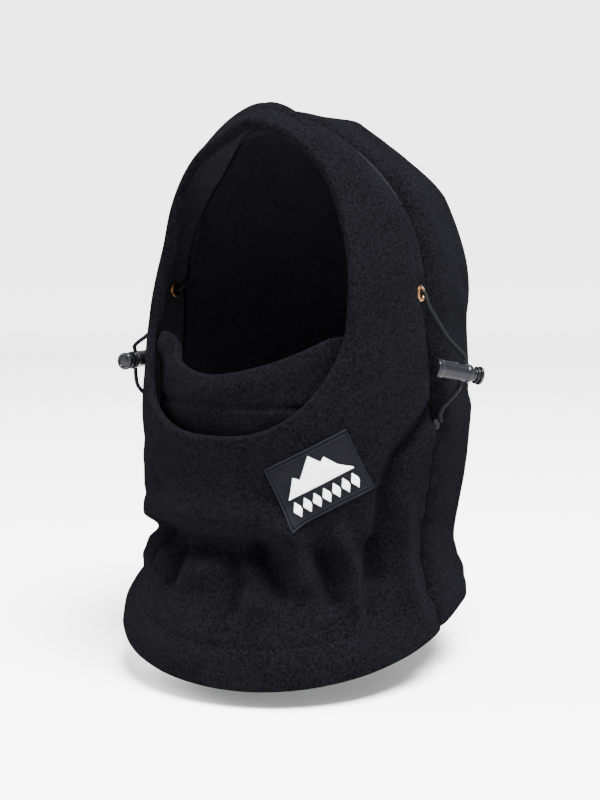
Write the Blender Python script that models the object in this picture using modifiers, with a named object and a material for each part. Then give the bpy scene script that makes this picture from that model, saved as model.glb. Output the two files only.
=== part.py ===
"""Balaclava: a two-layer fleece hood with a mask, a drawcord with two spring cord locks, and a sewn badge.

The face looks along -Y, +X is the wearer's left and +Z is up. The origin is where the wearer's crown holds
the hood up, on the inside of the lining.
"""

import math

import bmesh
import bpy
import numpy as np
from mathutils import Matrix, Vector

# Driving dimensions, in metres. Heights here are measured from the wearer's eyes.
CROWN_HEIGHT = 0.123
CROWN_LEAN = 0.12
DOME_SHARPNESS = 2.15
PLAN_SHARPNESS = 2.1
SECTIONS = (  # height, half width, reach to the front, reach to the back
    (-0.225, 0.1130, 0.1340, 0.1290),
    (-0.190, 0.1085, 0.1240, 0.1190),
    (-0.160, 0.0960, 0.1090, 0.1060),
    (-0.140, 0.0905, 0.1010, 0.0990),
    (-0.115, 0.0930, 0.1030, 0.1000),
    (-0.090, 0.0960, 0.1055, 0.1020),
    (-0.050, 0.0970, 0.1090, 0.1080),
    (0.000, 0.0935, 0.1035, 0.1170),
)
HEM_HEIGHT = -0.182
HEM_SLOPE = math.tan(math.radians(13))
RIM_TOP = 0.107
RIM_BOTTOM = -0.068
RIM_MIDDLE = 0.015
RIM_HALF_WIDTH = 0.070
RIM_SHAPE = 0.9  # under 1 for fuller sides
CHIN_SHAPE = 0.78  # and for a rim that is flatter at the chin
GROOVE_Y = -0.013
GROOVE_LEAN = 0.027
GROOVE_LEAN_FROM = 0.050
GROOVE_TURN = 0.42  # share of the casing seam that lies over the eyes' height
BACK_TURN = 0.5  # share of the centre-back seam that lies over the eyes' height
EDGE_TURN = 0.6  # share of the front panel's outer edge that is casing seam

OUTER_THICK = 0.0020
LINING_THICK = 0.0016
GAP = 0.0003
SEAM_GAP = 0.0006
LINING_DEPTH = OUTER_THICK + GAP
INSIDE_DEPTH = LINING_DEPTH + LINING_THICK

MASK_DEPTH = 0.0090
MASK_THICK = 0.0015
MASK_HALF_ANGLE = math.radians(62)
MASK_TOP_MIDDLE = -0.034
MASK_TOP_SIDE = -0.008
MASK_BOTTOM = -0.098
MASK_HINGE = Vector((0.0, -0.045, -0.030))

CORD_RADIUS = 0.0013
CORD_ABOVE_LOCK = {
    1: (
        (0.0968, -0.0235, 0.0057),
        (0.0997, -0.0185, -0.0026),
        (0.1027, -0.0150, -0.0097),
        (0.1068, -0.0120, -0.0162),
    ),
    -1: (
        (-0.0953, -0.0246, 0.0050),
        (-0.0950, -0.0285, -0.0040),
        (-0.0957, -0.0335, -0.0115),
        (-0.0990, -0.0400, -0.0175),
    ),
}
CORD_BELOW_LOCK = {
    1: ((0.1068, -0.0118, -0.0485), (0.1026, -0.0130, -0.0535), (0.1004, -0.0145, -0.0585)),
    -1: ((-0.1042, -0.0420, -0.0495), (-0.1030, -0.0350, -0.0560), (-0.1012, -0.0240, -0.0605)),
}
CORD_STRAIGHT = (0.0095, 0.0050, -0.0050, -0.0095)  # along the cord, from the middle of the lock's hole
CORD_END = Vector((0.0, 0.0006, 0.0012))  # from over the anchor's middle
CORD_LEAVES = (-0.0007, 0.0025)  # along the eyelet's axis
CORD_INSIDE = (-0.0015, -0.0040, -0.0066)  # along the eyelet's axis, inside the hood
CORD_BEND_DEPTH = 0.0090
CORD_BEND = Vector((0.0, 0.0035, 0.0040))
CORD_TO_MOUTH = Vector((0.0, -0.0010, -0.0060))
CORD_STEP = 0.0045
HIDDEN_STEP = 0.0075
CASING_STEP = 0.0085
CASING_RADIUS = 0.0031
CASING_WALL = 0.0006
CASING_DEPTH = 0.0078
CASING_SHARE = 0.80  # of the way from the crown to the eyes' height
CASING_STEPS = 14
EYELET_AT = (-0.023, 0.013)
EYELET_BORE = 0.0029
EYELET_BARREL = 0.0034
EYELET_FLANGE = 0.0050
EYELET_RISE = 0.0013
EYELET_EDGE = 0.0007
EYELET_THROUGH = 0.0017
WASHER_THICK = 0.0008
EYELET_HOLE = EYELET_BARREL + GAP

ANCHOR_AT = (-0.0155, -0.0645)
ANCHOR_SIZE = (0.0026, 0.0034, 0.0016)
CORD_OVER_ANCHOR = 0.0052

LOCK_AT = {1: Vector((0.1120, -0.0094, -0.0337)), -1: Vector((-0.1034, -0.0452, -0.0324))}
LOCK_PRESS = {1: Vector((0.62, 0.74, -0.186)), -1: Vector((0.05, -1.0, -0.02))}
LOCK_TRAVEL = 0.0030
BARREL_RADIUS = 0.0058
BARREL_BORE = 0.0042
BARREL_IN = -0.0175
BARREL_OUT = 0.0052
BORE_BOTTOM = -0.0150
BARREL_LIP = 0.0006
BARREL_BAND = 0.0030
WINDOW_BOTTOM = -0.0045
PLUNGER_RADIUS = BARREL_BORE - GAP
HEAD_RADIUS = 0.0056
HEAD_IN = BARREL_OUT + LOCK_TRAVEL + GAP
HEAD_OUT = HEAD_IN + 0.0043
HEAD_FACE = 0.0015
CORD_ROOM = CORD_RADIUS + GAP
PLUNGER_IN = -CORD_ROOM - 0.0020
WINDOW_WIDTH = 2 * CORD_ROOM + 0.0010
SPRING_TURNS = 4
SPRING_RADIUS = 0.0028
SPRING_WIRE = 0.0003

PATCH_AT = (0.0585, -0.0905)
PATCH_SIZE = (0.052, 0.041)
PATCH_TURN = math.radians(27)
PATCH_THICK = 0.0009
BORDER_WIDTH = 0.0030
BORDER_THICK = 0.0016
MOTIF_PEAKS = (  # the mountains' line: across and up the badge
    (-0.0190, -0.0020),
    (-0.0115, 0.0090),
    (-0.0070, 0.0035),
    (0.0005, 0.0140),
    (0.0075, 0.0045),
    (0.0110, 0.0085),
    (0.0190, -0.0020),
)
MOTIF_FOOT = -0.0085
MOTIF_THICK = 0.0007

EYE_HEIGHT = -(CROWN_HEIGHT - INSIDE_DEPTH)
UP = Vector((0.0, 0.0, 1.0))
MERGE = 0.0001
CUTTER_LENGTH = 0.03
PANEL_STEPS = (9, 30)  # across and along the front panel
BACK_STEPS = (8, 18)
FAR_OUT = 0.2  # outside the hood in every direction
LEAN_SHAPE = 1.5  # over 1 for a lean that grows towards the crown

PARTS = None
CUTTERS = None


# ---------------------------------------------------------------- the hood's surface, from the eyes' height

def section(height):
    """Half width, front reach and back reach at this height, as a smooth curve through SECTIONS."""
    table = np.array(SECTIONS)
    heights = table[:, 0]
    height = min(max(height, heights[0]), heights[-1])
    k = min(int(np.searchsorted(heights, height, side="right")) - 1, len(heights) - 2)
    slopes = np.gradient(table[:, 1:], heights, axis=0)
    slopes[-1] = 0.0
    span = heights[k + 1] - heights[k]
    t = (height - heights[k]) / span
    low, high = table[k, 1:], table[k + 1, 1:]
    return (
        (2 * t**3 - 3 * t**2 + 1) * low
        + (t**3 - 2 * t**2 + t) * span * slopes[k]
        + (3 * t**2 - 2 * t**3) * high
        + (t**3 - t**2) * span * slopes[k + 1]
    )


def fullness(point):
    """1 on the hood's outer surface, less inside it and more outside it."""
    half_width, front, back = section(point.z)
    reach = front if point.y < 0 else back
    across = abs(point.x / half_width) ** PLAN_SHARPNESS + abs(point.y / reach) ** PLAN_SHARPNESS
    across **= 1 / PLAN_SHARPNESS
    if point.z <= 0:
        return across
    upright = point.z / (1 - CROWN_LEAN * point.y / CROWN_HEIGHT)
    total = across**DOME_SHARPNESS + (upright / CROWN_HEIGHT) ** DOME_SHARPNESS
    return total ** (1 / DOME_SHARPNESS)


def outward(point):
    """The outer surface's normal at a point on it."""
    step = 1e-5
    slope = [
        fullness(point + axis * step) - fullness(point - axis * step)
        for axis in (Vector((1, 0, 0)), Vector((0, 1, 0)), UP)
    ]
    return Vector(slope).normalized()


def on_hood(rough, depth=0.0):
    """The point of the hood near a rough one, this far under its outer surface."""
    point = rough.copy()
    for _ in range(6):
        scale = 1 / fullness(point)
        point = Vector((point.x * scale, point.y * scale, point.z * (scale if point.z > 0 else 1.0)))
    return point - outward(point) * depth


def solved(place, low, high):
    """The point place(value) that lies on the surface, for a value between low and high."""
    for _ in range(40):
        middle = (low + high) / 2
        if fullness(place(middle)) > 1:
            high = middle
        else:
            low = middle
    return place((low + high) / 2)


def rim_point(t):
    """The face opening's edge on the wearer's left, from the crown (0) to below the chin (1)."""
    angle = math.pi * t
    if t < 0.5:
        x = RIM_HALF_WIDTH * math.sin(angle) ** RIM_SHAPE
        z = RIM_MIDDLE + (RIM_TOP - RIM_MIDDLE) * math.cos(angle)
    else:
        x = RIM_HALF_WIDTH * abs(math.sin(angle)) ** CHIN_SHAPE
        z = RIM_MIDDLE + (RIM_BOTTOM - RIM_MIDDLE) * abs(math.cos(angle)) ** CHIN_SHAPE
    return solved(lambda y: Vector((x, -y, z)), 0.0, FAR_OUT)


def groove_y(height):
    """How far back the casing seam lies: upright at the side, leaning forward at the crown."""
    rise = max(0.0, height - GROOVE_LEAN_FROM) / (CROWN_HEIGHT - GROOVE_LEAN_FROM)
    return GROOVE_Y - GROOVE_LEAN * rise**LEAN_SHAPE


def groove_point(t, shift=0.0):
    """The casing seam from the crown (0) down the wearer's left side to the hem (1)."""
    turn = GROOVE_TURN
    if t < turn:
        angle = math.pi / 2 * (1 - t / turn)

        def place(reach):
            z = reach * math.sin(angle)
            return Vector((reach * math.cos(angle), groove_y(z) + shift, z))

        return solved(place, 0.0, FAR_OUT)
    y = GROOVE_Y + shift
    z = hem_height(y) * (t - turn) / (1 - turn)
    return solved(lambda x: Vector((x, y, z)), 0.0, FAR_OUT)


def hem_height(y):
    return HEM_HEIGHT + HEM_SLOPE * y


def hem_point(azimuth):
    """The hem at this angle from the front, turning towards the wearer's left."""
    y = -0.12 * math.cos(azimuth)
    for _ in range(6):
        point = on_hood(Vector((math.sin(azimuth), -math.cos(azimuth), 0)) * 0.1 + UP * hem_height(y))
        y = point.y
    return point


def centre_back_point(t):
    """The centre-back seam, from the crown end of the casing seam (0) over the head to the hem (1)."""
    start = groove_point(0.0).y
    turn = BACK_TURN
    if t < turn:
        angle = math.pi / 2 * (t / turn)
        z_part, y_part = math.cos(angle), math.sin(angle)

        def over(reach):
            return Vector((0, start * z_part + reach * y_part, reach * z_part))

        return solved(over, 0.0, FAR_OUT)
    low = hem_point(math.pi).z * (t - turn) / (1 - turn)
    return solved(lambda y: Vector((0, y, low)), 0.0, FAR_OUT)


def front_edge(t):
    """The front panel's outer edge: down the casing seam to the hem, then along the hem to the middle."""
    corner = EDGE_TURN
    if t < corner:
        return groove_point(t / corner, -SEAM_GAP / 2)
    start = math.atan2(groove_point(1.0).x, -groove_point(1.0, -SEAM_GAP / 2).y)
    return hem_point(start * (1 - (t - corner) / (1 - corner)))


# ---------------------------------------------------------------- building helpers

def clear_scene():
    for obj in list(bpy.data.objects):
        bpy.data.objects.remove(obj, do_unlink=True)


def new_collection(name, hidden=False):
    made = bpy.data.collections.new(name)
    bpy.context.scene.collection.children.link(made)
    made.hide_render = hidden
    return made


def material(name, colour, roughness, metallic=0.0):
    made = bpy.data.materials.new(name)
    made.use_nodes = True
    shader = made.node_tree.nodes["Principled BSDF"]
    shader.inputs["Base Color"].default_value = (*colour, 1.0)
    shader.inputs["Roughness"].default_value = roughness
    shader.inputs["Metallic"].default_value = metallic
    return made


def raised(point):
    """From the eyes' height to the part's own frame."""
    return point + UP * EYE_HEIGHT


def add_object(name, data, look, collection=None):
    obj = bpy.data.objects.new(name, data)
    (collection or PARTS).objects.link(obj)
    if look:
        data.materials.append(look)
    return obj


def mesh_object(name, mesh, look, collection=None):
    data = bpy.data.meshes.new(name)
    mesh.to_mesh(data)
    mesh.free()
    return add_object(name, data, look, collection)


def grid_mesh(rows, closed=False):
    """A bmesh of quads over rows of points, with points that coincide made one."""
    mesh = bmesh.new()
    made = [[mesh.verts.new(point) for point in row] for row in rows]
    count = len(rows[0])
    for upper, lower in zip(made, made[1:]):
        for k in range(count if closed else count - 1):
            after = (k + 1) % count
            mesh.faces.new((upper[k], lower[k], lower[after], upper[after]))
    bmesh.ops.remove_doubles(mesh, verts=mesh.verts, dist=1e-5)
    return mesh


def thicken(obj, thickness):
    """Solidify inwards from the outer face."""
    wall = obj.modifiers.new("Wall", "SOLIDIFY")
    wall.thickness = thickness
    wall.offset = -1
    wall.use_even_offset = True
    return obj


def mirror_half(obj):
    """The other half of the piece, joined where it meets the middle plane."""
    copy = obj.modifiers.new("Mirror", "MIRROR")
    copy.use_axis = (True, False, False)
    copy.merge_threshold = MERGE
    return obj


def cut(obj, cutter):
    hole = obj.modifiers.new("Cut", "BOOLEAN")
    hole.operation = "DIFFERENCE"
    hole.solver = "EXACT"
    hole.object = cutter


def cylinder(name, radius, length, look=None, sides=24, collection=None):
    mesh = bmesh.new()
    bmesh.ops.create_cone(
        mesh, cap_ends=True, segments=sides, radius1=radius, radius2=radius, depth=length
    )
    return mesh_object(name, mesh, look, collection)


def turned(name, profile, look, sides=28):
    """A solid turned about its Z axis from (radius, height) points, the outer wall running downwards."""
    data = bpy.data.meshes.new(name)
    points = [(radius, 0.0, height) for radius, height in profile]
    data.from_pydata(points, [(k, k + 1) for k in range(len(points) - 1)], [])
    obj = add_object(name, data, look)
    spin = obj.modifiers.new("Turn", "SCREW")
    spin.steps = sides
    spin.render_steps = sides
    spin.use_merge_vertices = True
    spin.merge_threshold = 1e-5
    return obj


def smooth_route(points, spacing):
    """Evenly spaced points on a smooth curve through the route's points."""
    ends = [points[0] * 2 - points[1], *points, points[-1] * 2 - points[-2]]
    fine = []
    for a, b, c, d in zip(ends, ends[1:], ends[2:], ends[3:]):
        for k in range(24):
            t = k / 24
            fine.append(
                b
                + (c - a) * t / 2
                + (2 * a - 5 * b + 4 * c - d) * t**2 / 2
                + (3 * b - a - 3 * c + d) * t**3 / 2
            )
    fine.append(points[-1])
    lengths = np.cumsum([0.0] + [(q - p).length for p, q in zip(fine, fine[1:])])
    count = max(2, round(lengths[-1] / spacing))
    wanted = np.linspace(0.0, lengths[-1], count + 1)
    columns = [np.interp(wanted, lengths, [point[axis] for point in fine]) for axis in range(3)]
    return [Vector(point) for point in zip(*columns)]


def tube_curve(name, points, radius, look, caps=True, resolution=2):
    data = bpy.data.curves.new(name, "CURVE")
    data.dimensions = "3D"
    data.bevel_depth = radius
    data.bevel_resolution = resolution
    data.use_fill_caps = caps
    line = data.splines.new("POLY")
    line.points.add(len(points) - 1)
    for place, point in zip(line.points, points):
        place.co = (*point, 1.0)
    return add_object(name, data, look)


def as_mesh(obj, look):
    """The curve object made a mesh object of the same name and place."""
    graph = bpy.context.evaluated_depsgraph_get()
    data = bpy.data.meshes.new_from_object(obj.evaluated_get(graph))
    mesh = bmesh.new()
    mesh.from_mesh(data)
    bmesh.ops.remove_doubles(mesh, verts=mesh.verts, dist=1e-6)
    name, place = obj.name, obj.matrix_world.copy()
    bpy.data.objects.remove(obj, do_unlink=True)
    made = mesh_object(name, mesh, look)
    made.matrix_world = place
    return made


# ---------------------------------------------------------------- fleece panels

def loft(name, first, last, across, along, depth, look):
    """A panel between two edges, each a function of 0 to 1, lying this far under the hood's surface."""
    rows = []
    for i in range(along + 1):
        start, end = first(i / along), last(i / along)
        rows.append(
            [raised(on_hood(start.lerp(end, k / across), depth)) for k in range(across + 1)]
        )
    return mesh_object(name, grid_mesh(rows), look)


def off_middle(edge):
    """The same edge kept half a seam gap off the middle plane."""

    def shifted(t):
        point = edge(t)
        point.x = max(point.x, SEAM_GAP / 2)
        return point

    return shifted


def front_piece(name, depth, thickness, look):
    """The ring around the face and the bib under it: one piece, open at the crown seam."""

    def rim(t):
        point = rim_point(t)
        if t < 0.5:
            point.x = max(point.x, SEAM_GAP / 2)
        return point

    def edge(t):
        point = front_edge(t)
        if t < 0.5:
            point.x = max(point.x, SEAM_GAP / 2)
        return point

    half = loft(name, rim, edge, *PANEL_STEPS, depth, look)
    whole = thicken(mirror_half(half), thickness)
    split = whole.modifiers.new("Same split for both layers", "TRIANGULATE")
    split.quad_method = "FIXED"
    return whole


def back_piece(name, side, depth, thickness, look):
    """One half of the back, between the casing seam and the centre-back seam."""
    groove = off_middle(lambda t: groove_point(t, SEAM_GAP / 2))
    obj = loft(name, groove, off_middle(centre_back_point), *BACK_STEPS, depth, look)
    if side < 0:
        obj.data.transform(Matrix.Scale(-1, 4, (1, 0, 0)))
        obj.data.flip_normals()
    return thicken(obj, thickness)


def mask_top(azimuth):
    return MASK_TOP_MIDDLE + (MASK_TOP_SIDE - MASK_TOP_MIDDLE) * (azimuth / MASK_HALF_ANGLE) ** 2


def mask_piece(name, depth, look):
    """One layer of the face mask, hanging inside the opening from side to side."""
    rows = []
    for i in range(17):
        azimuth = MASK_HALF_ANGLE * (i / 8 - 1)
        top = mask_top(azimuth)
        row = []
        for k in range(7):
            height = top + (MASK_BOTTOM - top) * k / 6
            rough = Vector((math.sin(azimuth), -math.cos(azimuth), 0)) * 0.09 + UP * height
            row.append(raised(on_hood(rough, depth)))
        rows.append(row)
    obj = mesh_object(name, grid_mesh(rows), look)
    return thicken(obj, MASK_THICK)


# ---------------------------------------------------------------- drawcord, casing and eyelets

def eyelet_frame(side):
    """Centre on the outer surface, and outward direction, of the eyelet on this side."""
    y, z = EYELET_AT
    centre = solved(lambda x: Vector((x, y, z)), 0.0, FAR_OUT)
    normal = outward(centre)
    return Vector((centre.x * side, centre.y, centre.z)), Vector((normal.x * side, normal.y, normal.z))


def facing(centre, direction):
    """A matrix that stands an object's Z axis along the direction, at the centre."""
    turn = direction.to_track_quat("Z", "Y").to_matrix().to_4x4()
    return Matrix.Translation(raised(centre)) @ turn


def sided(point, side):
    return Vector((point.x * side, point.y, point.z))


def casing_route():
    """The tunnel's middle line, from its end above the left eyelet over the crown to the right one."""
    half = []
    for k in range(CASING_STEPS + 1):
        point = groove_point(GROOVE_TURN * CASING_SHARE * (1 - k / CASING_STEPS))
        half.append(on_hood(point, CASING_DEPTH))
    half[-1].x = 0.0
    return half + [sided(point, -1) for point in half[-2::-1]]


def inner_cord_points(side):
    """From inside the eyelet's bore to the tunnel's mouth."""
    centre, normal = eyelet_frame(side)
    mouth = sided(casing_route()[0], side)
    return [
        *(centre + normal * reach for reach in CORD_INSIDE),
        centre - normal * CORD_BEND_DEPTH + CORD_BEND,
        mouth + CORD_TO_MOUTH,
    ]


def outer_cord_points(side):
    """From the eyelet, out and down through the cord lock, and back in to the anchor."""
    centre, normal = eyelet_frame(side)
    at, _, along = lock_axes(side)
    start = [centre + normal * reach for reach in CORD_LEAVES]
    above = [Vector(point) for point in CORD_ABOVE_LOCK[side]]
    through = [at + along * reach for reach in CORD_STRAIGHT]
    below = [Vector(point) for point in CORD_BELOW_LOCK[side]]
    anchor, out = anchor_frame(side)
    end = [anchor + out * CORD_OVER_ANCHOR + CORD_END]
    return start + above + through + below + end


def make_drawcord(look):
    for side, name in ((1, "left"), (-1, "right")):
        points = smooth_route(outer_cord_points(side), CORD_STEP)
        tube_curve(f"drawcord_{name}", [raised(point) for point in points], CORD_RADIUS, look)
    left = inner_cord_points(1)
    right = inner_cord_points(-1)[::-1]
    route = smooth_route(left + casing_route()[1:-1] + right, HIDDEN_STEP)
    tube_curve("drawcord_tunnel_run", [raised(point) for point in route], CORD_RADIUS, look)


def make_casing(look):
    points = smooth_route(casing_route(), CASING_STEP)
    curve = tube_curve("drawcord_casing", [raised(p) for p in points], CASING_RADIUS, look, caps=False)
    thicken(as_mesh(curve, look), CASING_WALL)


def make_eyelets(metal, panels):
    """The eyelets through both layers, their washers inside, and the holes that they sit in."""
    through = INSIDE_DEPTH + EYELET_THROUGH
    for side, name in ((1, "left"), (-1, "right")):
        centre, normal = eyelet_frame(side)
        place = facing(centre, normal)
        top, rolled = EYELET_RISE, EYELET_EDGE
        profile = (
            (EYELET_BORE, -through),
            (EYELET_BORE, rolled),
            (EYELET_BORE + EYELET_EDGE, top),
            (EYELET_FLANGE - EYELET_EDGE, top),
            (EYELET_FLANGE, rolled),
            (EYELET_FLANGE, GAP),
            (EYELET_BARREL, GAP),
            (EYELET_BARREL, -through),
            (EYELET_BORE, -through),
        )
        turned(f"eyelet_{name}", profile, metal).matrix_world = place
        near = -INSIDE_DEPTH - 3 * GAP
        far = near - WASHER_THICK
        ring = (
            (EYELET_HOLE, far),
            (EYELET_HOLE, near),
            (EYELET_FLANGE, near),
            (EYELET_FLANGE, far),
            (EYELET_HOLE, far),
        )
        turned(f"eyelet_washer_{name}", ring, metal).matrix_world = place
        cutter = cylinder(f"cut_eyelet_{name}", EYELET_HOLE, CUTTER_LENGTH, collection=CUTTERS)
        cutter.display_type = "WIRE"
        cutter.matrix_world = place
        for panel in panels:
            cut(panel, cutter)


def anchor_frame(side):
    """Where the lower end of the drawcord is sewn to the side, and the outward direction there."""
    centre = solved(lambda x: Vector((x, *ANCHOR_AT)), 0.0, FAR_OUT)
    return sided(centre, side), sided(outward(centre), side)


def make_anchors(look):
    for side, name in ((1, "left"), (-1, "right")):
        centre, out = anchor_frame(side)
        mesh = bmesh.new()
        bmesh.ops.create_uvsphere(mesh, u_segments=12, v_segments=8, radius=1.0)
        bmesh.ops.scale(mesh, verts=mesh.verts, vec=ANCHOR_SIZE)
        knot = mesh_object(f"cord_anchor_{name}", mesh, look)
        knot.matrix_world = facing(centre + out * (ANCHOR_SIZE[2] + GAP), out)


# ---------------------------------------------------------------- cord locks

def lock_axes(side):
    """Where the cord crosses the lock, which way its button comes out, and the cord's upward line there."""
    press = LOCK_PRESS[side].normalized()
    along = (UP - press * press.z).normalized()
    return LOCK_AT[side], press, along


def lock_place(side):
    """The cord lock's frame: Z the way its button comes out, X down the cord."""
    at, press, along = lock_axes(side)
    columns = Matrix((-along, press.cross(-along), press)).transposed()
    return Matrix.Translation(raised(at)) @ columns.to_4x4()


def window_cutter(name, low, high, width, place):
    """A slot right through, from low to high along the lock's own axis, with round ends."""
    mesh = bmesh.new()
    bmesh.ops.create_cone(
        mesh, cap_ends=True, segments=24, radius1=width / 2, radius2=width / 2, depth=CUTTER_LENGTH
    )
    stretch = (high - low) / 2 - width / 2
    for vert in mesh.verts:
        vert.co.y += math.copysign(stretch, vert.co.y)
    cutter = mesh_object(name, mesh, None, CUTTERS)
    cutter.display_type = "WIRE"
    lengthwise = Matrix(((0, 0, 1), (1, 0, 0), (0, 1, 0))).to_4x4()
    cutter.matrix_world = place @ Matrix.Translation((0, 0, (low + high) / 2)) @ lengthwise
    return cutter


def make_lock(side, name, housing, button, steel):
    """A barrel that slides on the cord, its sprung plunger, and the spring inside."""
    place = lock_place(side)
    holder = bpy.data.objects.new(f"lock_slide_{name}", None)
    PARTS.objects.link(holder)
    holder.matrix_world = place
    lip = BARREL_LIP
    barrel = turned(
        f"lock_barrel_{name}",
        (
            (0.0, BORE_BOTTOM),
            (BARREL_BORE, BORE_BOTTOM),
            (BARREL_BORE, BARREL_OUT),
            (BARREL_RADIUS - lip, BARREL_OUT),
            (BARREL_RADIUS, BARREL_OUT - lip),
            (BARREL_RADIUS, BARREL_OUT - BARREL_BAND),
            (BARREL_RADIUS - lip, BARREL_OUT - BARREL_BAND - lip),
            (BARREL_RADIUS - lip, BARREL_IN + BARREL_BAND + lip),
            (BARREL_RADIUS, BARREL_IN + BARREL_BAND),
            (BARREL_RADIUS, BARREL_IN + lip),
            (BARREL_RADIUS - lip, BARREL_IN),
            (0.0, BARREL_IN),
        ),
        housing,
    )
    plunger = turned(
        f"lock_plunger_{name}",
        (
            (0.0, HEAD_OUT),
            (HEAD_RADIUS - HEAD_FACE, HEAD_OUT),
            (HEAD_RADIUS, HEAD_OUT - 2 * BARREL_LIP),
            (HEAD_RADIUS, HEAD_IN + BARREL_LIP),
            (HEAD_RADIUS - BARREL_LIP, HEAD_IN),
            (PLUNGER_RADIUS, HEAD_IN),
            (PLUNGER_RADIUS, PLUNGER_IN),
            (0.0, PLUNGER_IN),
        ),
        button,
    )
    coil = []
    low = BORE_BOTTOM + GAP + SPRING_WIRE
    high = PLUNGER_IN - GAP - SPRING_WIRE
    steps = SPRING_TURNS * 10
    for k in range(steps + 1):
        angle = 2 * math.pi * k / 10
        height = low + (high - low) * k / steps
        coil.append((SPRING_RADIUS * math.cos(angle), SPRING_RADIUS * math.sin(angle), height))
    spring = tube_curve(f"lock_spring_{name}", coil, SPRING_WIRE, steel, resolution=1)
    slot_out = CORD_ROOM + LOCK_TRAVEL
    cut(barrel, window_cutter(f"cut_window_{name}", WINDOW_BOTTOM, CORD_ROOM + 0.0002, WINDOW_WIDTH, place))
    cut(plunger, window_cutter(f"cut_slot_{name}", -CORD_ROOM, slot_out, 2 * CORD_ROOM, place))
    for piece in (barrel, plunger, spring):
        piece.parent = holder


# ---------------------------------------------------------------- badge

def patch_point(across, up, lift):
    """A point of the badge: across and up it from its middle, this far off the hood."""
    x, z = PATCH_AT
    middle = solved(lambda y: Vector((x, -y, z)), 0.0, FAR_OUT)
    normal = outward(middle)
    level = UP.cross(normal).normalized()
    steep = normal.cross(level)
    right = level * math.cos(PATCH_TURN) + steep * math.sin(PATCH_TURN)
    above = steep * math.cos(PATCH_TURN) - level * math.sin(PATCH_TURN)
    rough = middle + right * across + above * up
    return raised(on_hood(rough, -lift))


def patch_sheet(name, outline_rows, low, thickness, look, closed=False):
    """A thin curved piece over rows of (across, up) points, from this height off the hood."""
    rows = [[patch_point(a, u, low + thickness) for a, u in row] for row in outline_rows]
    obj = mesh_object(name, grid_mesh(rows, closed), look)
    return thicken(obj, thickness)


def rectangle_ring(width, height, steps=8):
    """Points around a rectangle, anticlockwise, this many to a side."""
    corners = [(width, height), (-width, height), (-width, -height), (width, -height)]
    ring = []
    for (x0, y0), (x1, y1) in zip(corners, corners[1:] + corners[:1]):
        for k in range(steps):
            ring.append((x0 + (x1 - x0) * k / steps, y0 + (y1 - y0) * k / steps))
    return ring


def make_patch(cloth, edge, thread):
    half_width, half_height = PATCH_SIZE[0] / 2, PATCH_SIZE[1] / 2
    inner_width, inner_height = half_width - BORDER_WIDTH, half_height - BORDER_WIDTH
    field = [
        [
            ((k / 4 - 1) * (inner_width - GAP), (1 - i / 4) * (inner_height - GAP))
            for k in range(9)
        ]
        for i in range(9)
    ]
    patch_sheet("patch_base", field, GAP, PATCH_THICK, cloth)
    border = [
        rectangle_ring(inner_width, inner_height),
        rectangle_ring(half_width, half_height),
    ]
    patch_sheet("patch_border", border, GAP, BORDER_THICK, edge, closed=True)
    foot = [(x, MOTIF_FOOT) for x, _ in MOTIF_PEAKS]
    patch_sheet("patch_motif", [MOTIF_PEAKS, foot], 3 * GAP + PATCH_THICK, MOTIF_THICK, thread)


# ---------------------------------------------------------------- the whole

def main():
    global PARTS, CUTTERS
    clear_scene()
    PARTS = new_collection("balaclava")
    CUTTERS = new_collection("cutters", hidden=True)
    fleece = material("black_fleece", (0.022, 0.022, 0.026), 0.95)
    inside = material("black_lining", (0.016, 0.016, 0.019), 0.95)
    cord_look = material("grey_cord", (0.035, 0.035, 0.040), 0.7)
    bronze = material("bronze", (0.46, 0.27, 0.16), 0.3, 1.0)
    smoke = material("smoke_plastic", (0.070, 0.070, 0.085), 0.12)
    dark = material("dark_plastic", (0.03, 0.03, 0.04), 0.15)
    steel = material("spring_steel", (0.6, 0.6, 0.62), 0.3, 1.0)
    woven = material("black_woven", (0.03, 0.03, 0.045), 0.6)
    grey_thread = material("border_thread", (0.05, 0.05, 0.06), 0.5)
    white_thread = material("white_thread", (0.85, 0.85, 0.85), 0.5)
    tape = material("casing_tape", (0.03, 0.03, 0.035), 0.8)

    front = front_piece("front_panel", 0.0, OUTER_THICK, fleece)
    lining = front_piece("front_lining", LINING_DEPTH, LINING_THICK, inside)
    for side, name in ((1, "left"), (-1, "right")):
        back_piece(f"back_panel_{name}", side, 0.0, OUTER_THICK, fleece)
        back_piece(f"back_lining_{name}", side, LINING_DEPTH, LINING_THICK, inside)
    hinge = bpy.data.objects.new("mask_hinge", None)
    PARTS.objects.link(hinge)
    hinge.location = raised(MASK_HINGE)
    for name, depth in (("mask_outer", MASK_DEPTH), ("mask_lining", MASK_DEPTH + MASK_THICK + GAP)):
        layer = mask_piece(name, depth, fleece if name == "mask_outer" else inside)
        layer.data.transform(Matrix.Translation(-hinge.location))
        layer.parent = hinge
    make_casing(tape)
    make_drawcord(cord_look)
    make_eyelets(bronze, (front, lining))
    make_anchors(grey_thread)
    for side, name in ((1, "left"), (-1, "right")):
        make_lock(side, name, smoke, dark, steel)
    make_patch(woven, grey_thread, white_thread)


main()
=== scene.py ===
"""The balaclava's look: fleece shells with the worn hood's folds, a drawcord, cord locks and a badge.

Heights are measured from the wearer's eyes, as in the part, and are moved into the shared frame when a
mesh is made.
"""

import math

import bmesh
import bpy
import numpy as np
from mathutils import Matrix, Vector


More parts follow.
